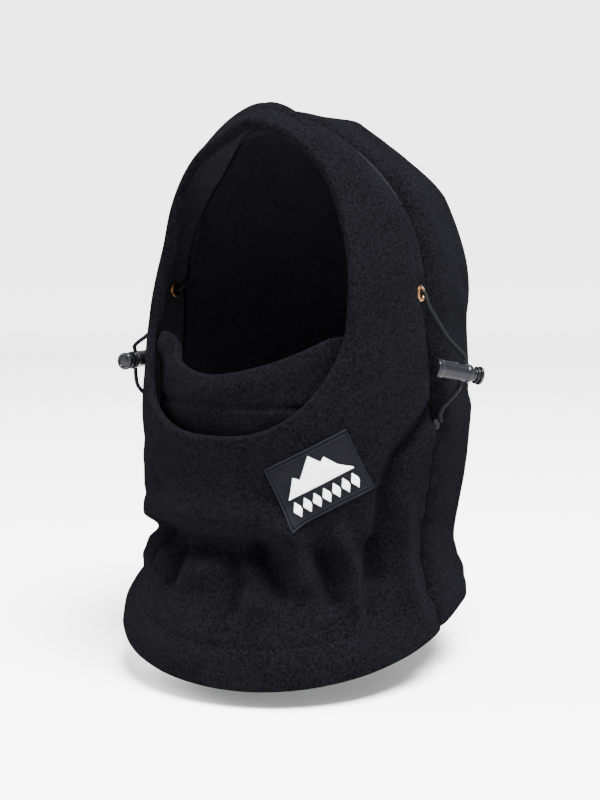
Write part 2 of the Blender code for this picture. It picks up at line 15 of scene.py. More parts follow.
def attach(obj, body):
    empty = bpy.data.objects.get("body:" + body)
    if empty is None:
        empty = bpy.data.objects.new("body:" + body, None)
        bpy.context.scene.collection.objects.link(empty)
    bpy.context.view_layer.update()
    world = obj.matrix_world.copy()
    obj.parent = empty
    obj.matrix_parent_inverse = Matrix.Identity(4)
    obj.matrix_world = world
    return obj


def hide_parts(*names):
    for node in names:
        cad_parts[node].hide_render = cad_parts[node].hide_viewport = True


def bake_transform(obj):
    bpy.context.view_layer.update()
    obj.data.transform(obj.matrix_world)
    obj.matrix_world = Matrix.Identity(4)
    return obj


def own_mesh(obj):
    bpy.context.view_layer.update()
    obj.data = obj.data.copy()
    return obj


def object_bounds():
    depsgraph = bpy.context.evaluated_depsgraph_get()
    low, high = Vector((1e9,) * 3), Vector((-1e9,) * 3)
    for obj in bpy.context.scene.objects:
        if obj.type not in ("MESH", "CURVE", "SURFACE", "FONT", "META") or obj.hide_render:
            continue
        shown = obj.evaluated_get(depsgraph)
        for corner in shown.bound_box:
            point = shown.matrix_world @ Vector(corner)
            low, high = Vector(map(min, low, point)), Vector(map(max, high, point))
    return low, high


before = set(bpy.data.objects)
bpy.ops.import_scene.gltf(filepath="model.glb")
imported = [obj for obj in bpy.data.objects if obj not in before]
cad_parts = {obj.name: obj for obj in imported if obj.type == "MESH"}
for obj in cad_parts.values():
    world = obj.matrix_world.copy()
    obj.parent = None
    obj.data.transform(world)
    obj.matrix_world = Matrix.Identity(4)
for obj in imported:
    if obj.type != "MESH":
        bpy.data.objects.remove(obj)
CAD_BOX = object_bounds()

SIDES = ((1, "left"), (-1, "right"))

# The hood's plain surface, as in the part.
CROWN_HEIGHT = 0.123
CROWN_LEAN = 0.12
DOME_SHARPNESS = 2.15
PLAN_SHARPNESS = 2.1
SECTIONS = (  # height, half width, reach to the front, reach to the back
    (-0.225, 0.1130, 0.1340, 0.1290),
    (-0.190, 0.1085, 0.1240, 0.1190),
    (-0.160, 0.0960, 0.1090, 0.1060),
    (-0.140, 0.0905, 0.1010, 0.0990),
    (-0.115, 0.0930, 0.1030, 0.1000),
    (-0.090, 0.0960, 0.1055, 0.1020),
    (-0.050, 0.0970, 0.1090, 0.1080),
    (0.000, 0.0935, 0.1035, 0.1170),
)
HEM_HEIGHT = -0.1750
HEM_TILT = 0.070
HEM_TILT_FROM = -0.105
HEM_SLOPE = math.tan(math.radians(13))
RIM_TOP = 0.107
RIM_BOTTOM = -0.068
RIM_MIDDLE = 0.015
RIM_HALF_WIDTH = 0.070
CHIN_SHAPE = 0.78  # under 1 for a rim that is flatter at the chin
GROOVE_Y = -0.013
GROOVE_LEAN = 0.027
GROOVE_LEAN_FROM = 0.050
GROOVE_TURN = 0.42
BACK_TURN = 0.5
EDGE_TURN = 0.6
SEAM_HALF_GAP = 0.0003
EYE_HEIGHT = -(CROWN_HEIGHT - 0.0039)

# Cloth.
OUTER_CLOTH = 0.0014
LINING_DEPTH = 0.0018
LINING_CLOTH = 0.0011
LINING_FROM_RIM = 0.0125
RIM_ROLL = 0.0030
RIM_STRIP = 0.0090
RIM_STRIP_AT_CROWN = 0.0200
HEM_ROLL = 0.0030
HEM_STRIP = 0.0140
HEM_TAIL_DEPTH = 0.0046
HEM_STITCH_HEIGHT = 0.017
SEAM_TUCK = 0.0030

MASK_DEPTH = 0.0090
MASK_HALF_ANGLE = math.radians(64)
MASK_TOP_LOW = -0.0320
MASK_RISE_LEFT = 0.021
MASK_RISE_RIGHT = 0.018
MASK_LINE = -0.0515
MASK_BOTTOM = -0.098
MASK_ROLL = 0.0026
MASK_LINING_BELOW = 0.0085  # under the mask's top edge
MASK_LINING_DEPTHS = (0.0030, 0.0017)
MASK_STAYS_BELOW = -0.094
MASK_MOVES_ABOVE = -0.052

# Cords and locks.
CORD_RADIUS = 0.0013
EYELET_AT = (-0.023, 0.013)
EYELET_TILT = 0.22  # the cloth's slope under the eyelets, towards the casing seam
ANCHOR_AT = (-0.0155, -0.0645)
LOCK_AT = {1: Vector((0.1120, -0.0094, -0.0337)), -1: Vector((-0.1034, -0.0452, -0.0324))}
LOCK_PRESS = {1: Vector((0.62, 0.74, -0.186)), -1: Vector((0.05, -1.0, -0.02))}
CORD_ABOVE_LOCK = {
    1: (
        (0.0968, -0.0235, 0.0057), (0.0997, -0.0185, -0.0026),
        (0.1027, -0.0150, -0.0097), (0.1068, -0.0120, -0.0162),
    ),
    -1: (
        (-0.0953, -0.0246, 0.0050), (-0.0950, -0.0285, -0.0040),
        (-0.0957, -0.0335, -0.0115), (-0.0990, -0.0400, -0.0175),
    ),
}
CORD_BELOW_LOCK = {
    1: ((0.1068, -0.0118, -0.0485), (0.1026, -0.0130, -0.0535), (0.1004, -0.0145, -0.0585)),
    -1: ((-0.1042, -0.0420, -0.0495), (-0.1030, -0.0350, -0.0560), (-0.1012, -0.0240, -0.0605)),
}
CORD_STRAIGHT = (0.0095, 0.0050, -0.0050, -0.0095)  # along the cord, from the middle of the lock's hole
CORD_END = Vector((0.0, 0.0006, 0.0012))  # from over the anchor's middle
CORD_OVER_ANCHOR = 0.0052

# Folds: height and width in millimetres, then the fold's line as (degrees from the front, millimetres up).
FOLDS = (
    (5.5, 10.0, ((-40, -117), (-21, -114), (-6, -116), (5, -114), (15, -114), (21, -118))),
    (-7.0, 7.5, ((-47, -136), (-21, -132), (-6, -134), (5, -132), (15, -133))),
    (7.5, 6.5, ((24, -119), (28, -134), (30, -149))),
    (-6.5, 5.5, ((35, -135), (37, -145), (39, -157))),
    (7.5, 6.5, ((41, -124), (46, -144), (46, -160))),
    (-6.5, 6.0, ((14, -132), (19, -143), (22, -155))),
    (-6.5, 5.5, ((54, -132), (52, -152), (50, -163))),
    (6.0, 8.0, ((75, -71), (68, -87), (65, -106), (67, -127), (69, -151), (70, -163))),
    (-7.0, 5.0, ((82, -46), (70, -67), (60, -82), (57, -101), (57, -123), (56, -146))),
    (3.0, 7.0, ((75, -50), (62, -68), (54, -84), (49, -104), (49, -124))),
    (6.0, 8.0, ((-7, -150), (-2, -149))),
    (4.5, 8.0, ((15, -161), (19, -162))),
    (-5.5, 4.5, ((6, -140), (9, -153), (8, -164))),
    (-5.5, 4.5, ((-17, -142), (-18, -160))),
    (4.5, 6.0, ((-25, -146), (-26, -156))),
    (-2.5, 3.0, ((8, -168), (6, -172), (7, -177))),
    (-2.5, 5.0, ((-35, -92), (-26, -104))),
    (4.5, 9.0, ((-76, -66), (-69, -90), (-66, -112), (-68, -140), (-72, -160))),
    (-4.5, 5.0, ((-84, -50), (-72, -66), (-61, -84), (-57, -106), (-56, -138))),
    (5.5, 7.0, ((-38, -126), (-43, -142), (-45, -156))),
    (-6.0, 5.0, ((-31, -136), (-34, -154))),
    (3.5, 9.0, ((112, -60), (108, -96), (112, -132), (118, -158))),
    (-3.5, 6.0, ((127, -70), (124, -104), (128, -140))),
    (3.5, 9.0, ((145, -84), (148, -118), (144, -150))),
    (-3.0, 6.0, ((165, -96), (163, -130), (167, -152))),
    (3.5, 9.0, ((-114, -64), (-110, -100), (-116, -138), (-120, -156))),
    (-3.5, 6.0, ((-130, -76), (-127, -110), (-131, -144))),
    (3.0, 9.0, ((-150, -88), (-147, -120), (-152, -148))),
    (-10.0, 30.0, ((-66, 94), (-59, 45))),
    (-5.0, 28.0, ((64, 88), (59, 50))),
    (-4.0, 16.0, ((-59, 8), (-59, 2))),
    (6.5, 15.0, ((-60, -98), (-60, -124))),
    (-11.0, 9.0, ((-66, -152), (-51, -152))),
    (-4.0, 18.0, ((-28, 112), (-58, 110))),
    (2.5, 20.0, ((108, 118), (136, 112))),
    (4.0, 12.0, ((108, -178), (132, -176))),
    (-4.0, 22.0, ((121, -122), (121, -165))),
)


# ---- the hood's surface

HEIGHTS = np.array([row[0] for row in SECTIONS])
REACHES = np.array([row[1:] for row in SECTIONS])
SLOPES = np.gradient(REACHES, HEIGHTS, axis=0)
SLOPES[-1] = 0.0


def section(height):
    """Half width, front reach and back reach at each height."""
    height = np.clip(height, HEIGHTS[0], HEIGHTS[-1])
    k = np.clip(np.searchsorted(HEIGHTS, height, side="right") - 1, 0, len(HEIGHTS) - 2)
    span = (HEIGHTS[k + 1] - HEIGHTS[k])[..., None]
    t = (height - HEIGHTS[k])[..., None] / span
    low, high = REACHES[k], REACHES[k + 1]
    return (
        (2 * t**3 - 3 * t**2 + 1) * low
        + (t**3 - 2 * t**2 + t) * span * SLOPES[k]
        + (3 * t**2 - 2 * t**3) * high
        + (t**3 - t**2) * span * SLOPES[k + 1]
    )


def fullness(points):
    """1 on the hood's outer surface, less inside it and more outside it."""
    x, y, z = points[..., 0], points[..., 1], points[..., 2]
    reaches = section(z)
    reach = np.where(y < 0, reaches[..., 1], reaches[..., 2])
    across = np.abs(x / reaches[..., 0]) ** PLAN_SHARPNESS + np.abs(y / reach) ** PLAN_SHARPNESS
    across = across ** (1 / PLAN_SHARPNESS)
    upright = np.maximum(z, 0) / (1 - CROWN_LEAN * y / CROWN_HEIGHT)
    domed = across**DOME_SHARPNESS + (upright / CROWN_HEIGHT) ** DOME_SHARPNESS
    return np.where(z <= 0, across, domed ** (1 / DOME_SHARPNESS))


def outward(points):
    """The plain surface's normals."""
    step = 1e-5
    slopes = [fullness(points + axis) - fullness(points - axis) for axis in np.eye(3) * step]
    return unit(np.stack(slopes, axis=-1))


def unit(vectors):
    return vectors / np.maximum(np.linalg.norm(vectors, axis=-1, keepdims=True), 1e-12)


def on_hood(points):
    points = points.copy()
    for _ in range(6):
        scale = 1 / fullness(points)
        points[..., :2] *= scale[..., None]
        points[..., 2] *= np.where(points[..., 2] > 0, scale, 1.0)
    return points


def solved(place, count):
    """The points place(reaches) that lie on the surface."""
    low, high = np.zeros(count), np.full(count, 0.2)
    for _ in range(30):
        middle = (low + high) / 2
        outside = fullness(place(middle)) > 1
        high = np.where(outside, middle, high)
        low = np.where(outside, low, middle)
    return place((low + high) / 2)


def stacked(x, y, z):
    return np.stack(np.broadcast_arrays(x, y, z), axis=-1).astype(float)


def at(degrees, height):
    """The plain hood's points at these angles round from the front and heights."""
    angle, height = np.broadcast_arrays(np.radians(degrees), np.asarray(height, float))
    flat, level = angle.ravel(), height.ravel()
    found = solved(lambda r: stacked(r * np.sin(flat), -r * np.cos(flat), level), flat.size)
    return found.reshape(angle.shape + (3,))


def rim_points(t):
    """The face opening's rim from the crown (0) down the wearer's left side to the chin (1)."""
    angle = math.pi * t
    shape = np.where(t < 0.5, 0.9, CHIN_SHAPE)
    x = RIM_HALF_WIDTH * np.abs(np.sin(angle)) ** shape
    x = np.where(t < 0.5, np.maximum(x, SEAM_HALF_GAP), x)
    upper = RIM_MIDDLE + (RIM_TOP - RIM_MIDDLE) * np.cos(angle)
    lower = RIM_MIDDLE + (RIM_BOTTOM - RIM_MIDDLE) * np.abs(np.cos(angle)) ** CHIN_SHAPE
    z = np.where(t < 0.5, upper, lower)
    return solved(lambda y: stacked(x, -y, z), len(t))


def groove_y(height):
    rise = np.maximum(0.0, height - GROOVE_LEAN_FROM) / (CROWN_HEIGHT - GROOVE_LEAN_FROM)
    return GROOVE_Y - GROOVE_LEAN * rise**1.5


def hem_height(y):
    return HEM_HEIGHT + HEM_SLOPE * y


def groove_points(t, shift=0.0):
    """The casing seam from the crown (0) down the wearer's left side to the hem (1)."""
    angle = math.pi / 2 * (1 - t / GROOVE_TURN)

    def over(reach):
        z = reach * np.sin(angle)
        return stacked(reach * np.cos(angle), groove_y(z) + shift, z)

    low = hem_height(GROOVE_Y + shift) * (t - GROOVE_TURN) / (1 - GROOVE_TURN)
    upper = solved(over, len(t))
    lower = solved(lambda x: stacked(x, GROOVE_Y + shift, np.minimum(low, 0)), len(t))
    found = np.where((t < GROOVE_TURN)[:, None], upper, lower)
    found[:, 0] = np.maximum(found[:, 0], SEAM_HALF_GAP)
    return found


def hem_points(angle):
    y = -0.12 * np.cos(angle)
    for _ in range(6):
        found = on_hood(stacked(0.1 * np.sin(angle), -0.1 * np.cos(angle), hem_height(y)))
        y = found[:, 1]
    return found


def centre_back_points(t):
    start = groove_points(np.zeros(1))[0, 1]
    angle = math.pi / 2 * np.minimum(t / BACK_TURN, 1)

    def arc(reach):
        return stacked(0, start * np.cos(angle) + reach * np.sin(angle), reach * np.cos(angle))

    over = solved(arc, len(t))
    low = hem_points(np.array([math.pi]))[0, 2] * np.maximum(t - BACK_TURN, 0) / (1 - BACK_TURN)
    under = solved(lambda y: stacked(0, y, low), len(t))
    found = np.where((t < BACK_TURN)[:, None], over, under)
    found[:, 0] = SEAM_HALF_GAP
    return found


def front_edge(t):
    down = groove_points(np.minimum(t / EDGE_TURN, 1.0), -SEAM_HALF_GAP)
    corner = groove_points(np.ones(1), -SEAM_HALF_GAP)[0]
    start = math.atan2(corner[0], -corner[1])
    round_hem = hem_points(start * (1 - np.clip((t - EDGE_TURN) / (1 - EDGE_TURN), 0, 1)))
    return np.where((t < EDGE_TURN)[:, None], down, round_hem)


# ---- folds

def distance(points, path):
    """How far each point is from a line through the path's points."""
    nearest = np.full(points.shape[:-1], 1.0)
    for start, end in zip(path, path[1:]):
        along = end - start
        share = np.clip((points - start) @ along / (along @ along), 0, 1)
        gap = points - start - share[..., None] * along
        nearest = np.minimum(nearest, np.sqrt((gap * gap).sum(-1)))
    return nearest


def bump(values, centre, width):
    return np.exp(-(((values - centre) / width) ** 2))


def wobble(points):
    """The cloth's slight unevenness, smooth and the same each time."""
    x, y, z = (points[..., k] * 1000 for k in range(3))
    slow = np.sin(x / 17 + 1.3 + np.sin(z / 23)) * np.sin(z / 19 + 0.4 + np.sin(y / 21))
    fine = np.sin(x / 7.1 + np.sin(y / 9)) * np.sin(z / 8.3 + np.sin(x / 11)) * np.sin(y / 7.7 + 2.1)
    return 0.0007 * slow + 0.00035 * fine


def fold_path(line):
    degrees, heights = np.array(line, float).T
    return at(degrees, heights * 0.001)


FOLD_PATHS = [(tall / 1000, wide / 1000, fold_path(line)) for tall, wide, line in FOLDS]
GROOVE_PATH = groove_points(np.linspace(0, 1, 56))
SECOND_VALLEY = np.array((  # behind the casing seam, on the wearer's left
    (0.040, 0.020, 0.108), (0.066, 0.030, 0.084), (0.079, 0.040, 0.055), (0.088, 0.034, 0.018),
))


def casing_relief(points):
    """The valley of the casing seam, with the padded band before it and the puff behind it."""
    x, y, z = points[..., 0], points[..., 1], points[..., 2]
    away = distance(stacked(np.abs(x), y, z), GROOVE_PATH)
    before = y < groove_y(z)
    head = 1 / (1 + np.exp(-(z + 0.055) / 0.012))
    deep = 0.0062 * head + 0.0040 * (1 - head)
    wide = 0.0062 * head + 0.0042 * (1 - head)
    pucker = 1 + 0.25 * (1 - head) * np.sin(z * 1000 / 2.6)
    valley = -deep * pucker * np.exp(-((away / wide) ** 1.25))
    band = np.where(before, 0.0022 * bump(away, 0.021, 0.014), 0.0012 * bump(away, 0.014, 0.010))
    second = distance(points, SECOND_VALLEY)
    dip, ridge = bump(second, 0, 0.007), bump(second, 0.016, 0.009)
    return valley + band * head - 0.0025 * dip + 0.0018 * ridge * (y > 0)


def crown_relief(points):
    """The pointed front of the crown, and the seams that run over it and down the back."""
    x, y, z = points[..., 0], points[..., 1], points[..., 2]
    top = np.clip((z - 0.070) / 0.035, 0, 1)
    point = 0.0065 * np.exp(-(np.abs(x) / 0.016) ** 1.3) * bump(y, -0.062, 0.030) * top
    behind = -0.0055 * top / (1 + np.exp(-(y - groove_y(z) - 0.010) / 0.004))
    seam = -0.0016 * np.exp(-(np.abs(x) / 0.0022) ** 1.2)
    on_crown = (z > 0.02) | (y > 0)
    return point + behind + seam * on_crown


def hem_relief(points):
    above = points[..., 2] - hem_height(points[..., 1])
    return -0.0013 * bump(above, HEM_STITCH_HEIGHT, 0.0016) + 0.0016 * bump(above, 0.007, 0.0075)


def relief(points):
    """How far the worn cloth stands off the plain hood."""
    off = 0.0005 + 0.0015 / (1 + np.exp(-(points[..., 2] + 0.15) / 0.012))
    total = off + wobble(points) + casing_relief(points) + crown_relief(points) + hem_relief(points)
    for tall, wide, path in FOLD_PATHS:
        total = total + tall * bump(distance(points, path), 0, wide)
    return total


# ---- meshes

def raised(points):
    """The points in the shared frame. The hem hangs lower on the wearer's left."""
    points = np.array(points, float)
    low = np.clip((HEM_TILT_FROM - points[..., 2]) / 0.060, 0, 1)
    points[..., 2] += EYE_HEIGHT - HEM_TILT * points[..., 0] * low * low * (3 - 2 * low)
    return points


def added(name, data):
    obj = bpy.data.objects.new(name, data)
    bpy.context.scene.collection.objects.link(obj)
    return obj


def new_object(name, vertices, faces, look, body="hood"):
    """A closed mesh, facing out, that moves with this CAD body."""
    data = bpy.data.meshes.new(name)
    vertices = np.asarray(vertices, float)
    data.from_pydata(vertices.tolist(), [], [list(face) for face in faces])
    data.polygons.foreach_set("use_smooth", np.ones(len(data.polygons), bool))
    data.materials.append(look)
    mesh = bmesh.new()
    mesh.from_mesh(data)
    if mesh.calc_volume(signed=True) < 0:
        bmesh.ops.reverse_faces(mesh, faces=mesh.faces)
        mesh.to_mesh(data)
    mesh.free()
    obj = added(name, data)
    if body:
        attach(obj, body)
    return obj


def finished(obj, node):
    """The piece stands for this CAD node, which is hidden."""
    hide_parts(node)
    return obj


def quads(*corners):
    """Faces with these four grids of corners."""
    return np.stack(corners, axis=-1).reshape(-1, 4)


def shell(name, visible, hidden, look, body="hood"):
    """A closed piece of cloth between two grids of the same size."""
    rows, columns = visible.shape[:2]
    count = rows * columns
    index = np.arange(count).reshape(rows, columns)
    edge = np.concatenate([index[0, :-1], index[:-1, -1], index[-1, :0:-1], index[:0:-1, 0]])
    after = np.roll(edge, -1)
    front = quads(index[:-1, :-1], index[1:, :-1], index[1:, 1:], index[:-1, 1:])
    wall = quads(edge, after, after + count, edge + count)
    faces = np.concatenate([front, front[:, ::-1] + count, wall])
    vertices = np.concatenate([visible.reshape(-1, 3), hidden.reshape(-1, 3)])
    return new_object(name, raised(vertices), faces, look, body)


def facing_out(grid, part, like):
    """Normals of a grid's surface, turned the way that the ones given for this part of it point."""
    normals = unit(np.cross(np.gradient(grid, axis=0), np.gradient(grid, axis=1)))
    return -normals if (normals[part] * like).sum() < 0 else normals


def rolled(edge, tangent, normal, radius, strip, tail_depth, steps=10, tail_steps=8):
    """Columns that take a cloth edge round a half turn and back inside, as a hem does."""
    columns = []
    for k in range(1, steps + 1):
        phi = math.pi * k / steps
        out, down = tangent * radius * math.sin(phi), normal * radius * (1 - math.cos(phi))
        columns.append(edge + out - down)
    strip = np.broadcast_to(strip, radius.shape)
    for k in range(1, tail_steps + 1):
        share = k / tail_steps
        depth = 2 * radius - (2 * radius - tail_depth) * share**0.7
        columns.append(edge - tangent * strip * share - normal * depth)
    return np.stack(columns, axis=1)


def square_to(tangent, normal):
    return unit(tangent - (tangent * normal).sum(-1, keepdims=True) * normal)


# ---- materials

def node_material(name):
    look = bpy.data.materials.new(name)
    look.use_nodes = True
    tree = look.node_tree
    return look, tree, tree.nodes["Principled BSDF"]


def dress(node, **values):
    """Sets a node's properties, and its sockets by names that start with a capital."""
    for key, value in values.items():
        if key[0].isupper():
            node.inputs[key.replace("_", " ")].default_value = value
        else:
            setattr(node, key, value)
    return node


def put(tree, kind, **values):
    return dress(tree.nodes.new(kind), **values)


def ramp(tree, source, stops):
    node = tree.nodes.new("ShaderNodeValToRGB")
    while len(node.color_ramp.elements) < len(stops):
        node.color_ramp.elements.new(0.5)
    for element, (place, colour) in zip(node.color_ramp.elements, stops):
        element.position = place
        element.color = (*colour, 1.0)
    tree.links.new(source, node.inputs["Fac"])
    return node


def noise(tree, scale, detail=3.0, roughness=0.6):
    place = put(tree, "ShaderNodeTexCoord")
    node = put(tree, "ShaderNodeTexNoise", Scale=scale, Detail=detail, Roughness=roughness)
    tree.links.new(place.outputs["Object"], node.inputs["Vector"])
    return node.outputs["Fac"]


def bumped(tree, shader, sources):
    """Bumps of (height source, strength, distance) laid one over another."""
    before = None
    for source, strength, reach in sources:
        node = put(tree, "ShaderNodeBump", Strength=strength, Distance=reach)
        tree.links.new(source, node.inputs["Height"])
        if before:
            tree.links.new(before.outputs["Normal"], node.inputs["Normal"])
        before = node
    tree.links.new(before.outputs["Normal"], shader.inputs["Normal"])


def fleece(name, dark, light, pile, nap):
    """Napped fleece: matted fibre clumps, flecked with lighter fibre ends."""
    look, tree, shader = node_material(name)
    clumps = noise(tree, 640.0, 4.0, 0.65)
    broad = noise(tree, 45.0, 2.0, 0.5)
    mixed = put(tree, "ShaderNodeMath", operation="MULTIPLY_ADD")
    tree.links.new(broad, mixed.inputs[0])
    mixed.inputs[1].default_value = 0.10
    tree.links.new(clumps, mixed.inputs[2])
    colours = ramp(tree, mixed.outputs[0], ((0.40, dark), (0.70, light)))
    tree.links.new(colours.outputs["Color"], shader.inputs["Base Color"])
    dress(shader, Roughness=0.95, Specular_IOR_Level=0.0)
    dress(shader, Sheen_Weight=pile, Sheen_Roughness=0.55, Sheen_Tint=(0.72, 0.76, 0.9, 1.0))
    fibres = noise(tree, 1500.0, 2.0, 0.7)
    bumped(tree, shader, ((clumps, nap, 0.0011), (fibres, nap * 0.7, 0.0005)))
    return look


def plain(name, colour, roughness, metallic=0.0, grain=900.0, strength=0.15):
    """One even colour, a little mottled and grained. Rough thread and cloth reflect almost nothing."""
    look, tree, shader = node_material(name)
    mirror = 0.5 if metallic else 0.14 if roughness < 0.4 else 0.03
    dress(shader, Specular_IOR_Level=mirror, Roughness=roughness, Metallic=metallic)
    grains = noise(tree, grain, 3.0)
    darker = tuple(channel * 0.8 for channel in colour)
    lighter = tuple(min(1.0, channel * 1.15) for channel in colour)
    colours = ramp(tree, grains, ((0.35, darker), (0.65, lighter)))
    tree.links.new(colours.outputs["Color"], shader.inputs["Base Color"])
    bumped(tree, shader, ((grains, strength, 0.0002),))
    return look


# ---- fleece panels

FRONT_ROWS, FRONT_COLUMNS = 270, 76
BACK_ROWS, BACK_COLUMNS = 210, 104


def mirrored(grid):
    return grid * (-1, 1, 1)


def front_base(rows, columns, start):
    """The front panel's plain grid: down the wearer's left from the crown, and up the right."""
    t = np.linspace(0, 1, rows + 1)
    inner, outer = rim_points(t), front_edge(t)
    width = np.linalg.norm(outer - inner, axis=1)
    first = (start / width)[:, None, None]
    s = np.linspace(0, 1, columns + 1)[None, :, None]
    share = first + (1 - first) * s
    half = on_hood(inner[:, None] * (1 - share) + outer[:, None] * share)
    return np.concatenate([half, mirrored(half[-2::-1])]), np.concatenate([t, t[-2::-1]])


def back_base(rows, columns, side):
    t = np.linspace(0, 1, rows + 1)
    s = np.linspace(0, 1, columns + 1)[None, :, None]
    fore, back = groove_points(t, SEAM_HALF_GAP)[:, None], centre_back_points(t)[:, None]
    half = on_hood(fore * (1 - s) + back * s)
    return half if side > 0 else mirrored(half)


def side_frame(side, place, tilt=0.0):
    """A point on the hood's side and the way out of it, leaning back by this much."""
    y, z = place
    centre = solved(lambda x: stacked(x, y, z), 1)
    normal = unit(outward(centre) + np.array((0.0, tilt, 0.0)))
    return Vector(centre[0] * (side, 1, 1)), Vector(normal[0] * (side, 1, 1))


def eyelet_frame(side):
    """The eyelet's middle and its axis, which leans back with the cloth's slope."""
    return side_frame(side, EYELET_AT, EYELET_TILT)


def flat_at_eyelets(points, lift):
    """The cloth lies flat under the eyelets' flanges."""
    for side in (1, -1):
        centre, normal = (np.array(part) for part in eyelet_frame(side))
        near = 1 / (1 + np.exp((np.linalg.norm(points - centre, axis=-1) - 0.0085) / 0.0012))
        slope = np.clip(-((points - centre) * normal).sum(-1), -0.004, 0.004)
        lift = lift * (1 - near) + slope * near
    return lift


def lift_of(points):
    return flat_at_eyelets(points, relief(points))


def worn(base):
    """A plain grid's normals, and how far the worn cloth stands off it."""
    return outward(base), lift_of(base)[..., None]


def front_panel(look):
    """The outer fleece round the face and down the bib: rolled rim, turned hem and tucked seam."""
    base, t = front_base(FRONT_ROWS, FRONT_COLUMNS, RIM_ROLL)
    normals, lift = worn(base)
    cloth = base + normals * lift
    under = base + normals * (lift - OUTER_CLOTH)
    crown = np.clip(1 - t / 0.16, 0, 1) ** 0.7
    radius = (RIM_ROLL + 0.0012 * crown)[:, None]
    strip = (RIM_STRIP + (RIM_STRIP_AT_CROWN - RIM_STRIP) * crown)[:, None]
    rim_way = square_to(cloth[:, 0] - cloth[:, 4], normals[:, 0])
    rim = rolled(cloth[:, 0], rim_way, normals[:, 0], radius, strip, 0.0036)[:, ::-1]
    hem = 1 / (1 + np.exp(-(t - EDGE_TURN - 0.004) / 0.003))[:, None, None]
    out_way = square_to(cloth[:, -1] - cloth[:, -4], normals[:, -1])
    hem_radius = np.full_like(radius, HEM_ROLL)
    fold = rolled(cloth[:, -1], out_way, normals[:, -1], hem_radius, HEM_STRIP, HEM_TAIL_DEPTH)
    depths = np.linspace(0, SEAM_TUCK, fold.shape[1] + 1)[1:]
    tuck = cloth[:, -1:] - normals[:, -1:] * depths[None, :, None]
    outer = tuck * (1 - hem) + fold * hem
    whole = np.concatenate([rim, cloth, outer], axis=1)
    middle = slice(rim.shape[1], rim.shape[1] + cloth.shape[1])
    inside = whole - facing_out(whole, np.s_[:, middle], normals) * OUTER_CLOTH
    inside[:, middle] = under
    finished(shell("fleece_front", whole, inside, look), "front_panel")


def lining(name, base, look, node):
    """The inner fleece, which follows the outer cloth from close behind."""
    normals, lift = worn(base)
    seen = base + normals * (lift - LINING_DEPTH - LINING_CLOTH)
    hidden = base + normals * (lift - LINING_DEPTH)
    finished(shell(name, seen, hidden, look), node)


def back_panel(side, name, look):
    """One half of the outer fleece behind the casing seam, with its turned hem."""
    base = back_base(BACK_ROWS, BACK_COLUMNS, side)
    normals, lift = worn(base)
    cloth = base + normals * lift
    hem_way = square_to(cloth[-1] - cloth[-4], normals[-1])
    hem_radius = np.full((BACK_COLUMNS + 1, 1), HEM_ROLL)
    hem = rolled(cloth[-1], hem_way, normals[-1], hem_radius, HEM_STRIP, HEM_TAIL_DEPTH)
    whole = np.concatenate([cloth, hem.transpose(1, 0, 2)])
    inside = whole - facing_out(whole, np.s_[: len(base)], normals) * OUTER_CLOTH
    inside[: len(base)] = base + normals * (lift - OUTER_CLOTH)
    finished(shell(f"fleece_back_{name}", whole, inside, look), f"back_panel_{name}")


# ---- mask

def mask_top(degrees):
    """The mask's top edge: low at the nose, rising to the wearer's left, and peaked on the right."""
    left = MASK_RISE_LEFT * np.clip((degrees + 4) / 43, 0, 1) ** 1.5
    right = MASK_RISE_RIGHT * np.clip((-4 - degrees) / 30, 0, 1) ** 2
    beyond = 0.0002 * np.maximum(degrees - 39, 0)
    return MASK_TOP_LOW + left + right + beyond + 0.004 * bump(degrees, -38, 6)


def mask_relief(points, down):
    """The mask's folds: full under its rolled top, and drawn in along its line of stitches."""
    azimuth = np.degrees(np.arctan2(points[..., 0], -points[..., 1]))
    full = 0.0016 * bump(down, 0.009, 0.008) - 0.0014 * bump(points[..., 2], MASK_LINE, 0.0016)
    peak = 0.0035 * bump(azimuth, -40, 5) * bump(down, 0.006, 0.010)
    dent = -0.0030 * bump(azimuth, -30, 3.5) * bump(down, 0.004, 0.008)
    return full + peak + dent + 1.2 * wobble(points * 1.3 + 0.02)


def mask_grid(rows, columns, below):
    """The mask's plain grid, its normals, and how far each point is under the mask's top edge."""
    degrees = np.linspace(-1, 1, rows + 1) * math.degrees(MASK_HALF_ANGLE)
    top = mask_top(degrees)[:, None] - below
    share = np.linspace(0, 1, columns + 1)[None, :]
    height = top + (MASK_BOTTOM - top) * share
    angle = np.radians(degrees)[:, None] * np.ones_like(share)
    base = on_hood(stacked(0.09 * np.sin(angle), -0.09 * np.cos(angle), height))
    normals = outward(base)
    return base - normals * MASK_DEPTH, normals, top - height + below


def make_mask(look, inside_look):
    base, normals, down = mask_grid(150, 52, MASK_ROLL)
    lift = mask_relief(base, down)[..., None]
    cloth = base + normals * lift
    way = square_to(cloth[:, 0] - cloth[:, 3], normals[:, 0])
    radius = np.full((len(cloth), 1), MASK_ROLL)
    roll = rolled(cloth[:, 0], way, normals[:, 0], radius, 0.007, 0.0040)[:, ::-1]
    whole = np.concatenate([roll, cloth], axis=1)
    inside = whole - facing_out(whole, np.s_[:, roll.shape[1]:], normals) * OUTER_CLOTH
    outer = finished(shell("mask_fleece", whole, inside, look, body=None), "mask_outer")
    base, normals, down = mask_grid(75, 26, MASK_LINING_BELOW)
    lift = mask_relief(base, down)[..., None]
    seen, hidden = (base + normals * (lift - depth) for depth in MASK_LINING_DEPTHS)
    back = shell("mask_back", seen, hidden, inside_look, body=None)
    finished(back, "mask_lining")
    for obj in (outer, back):
        blend_mask(obj)


# ---- stitching

STITCH_PITCH = 0.0034
STITCH_RISE = np.array((-0.0005, 0.0001, 0.0002, 0.0002, 0.0001, -0.0005))
STITCH_RADII = np.array((0.0001, 0.00022, 0.00026, 0.00026, 0.00022, 0.0001))


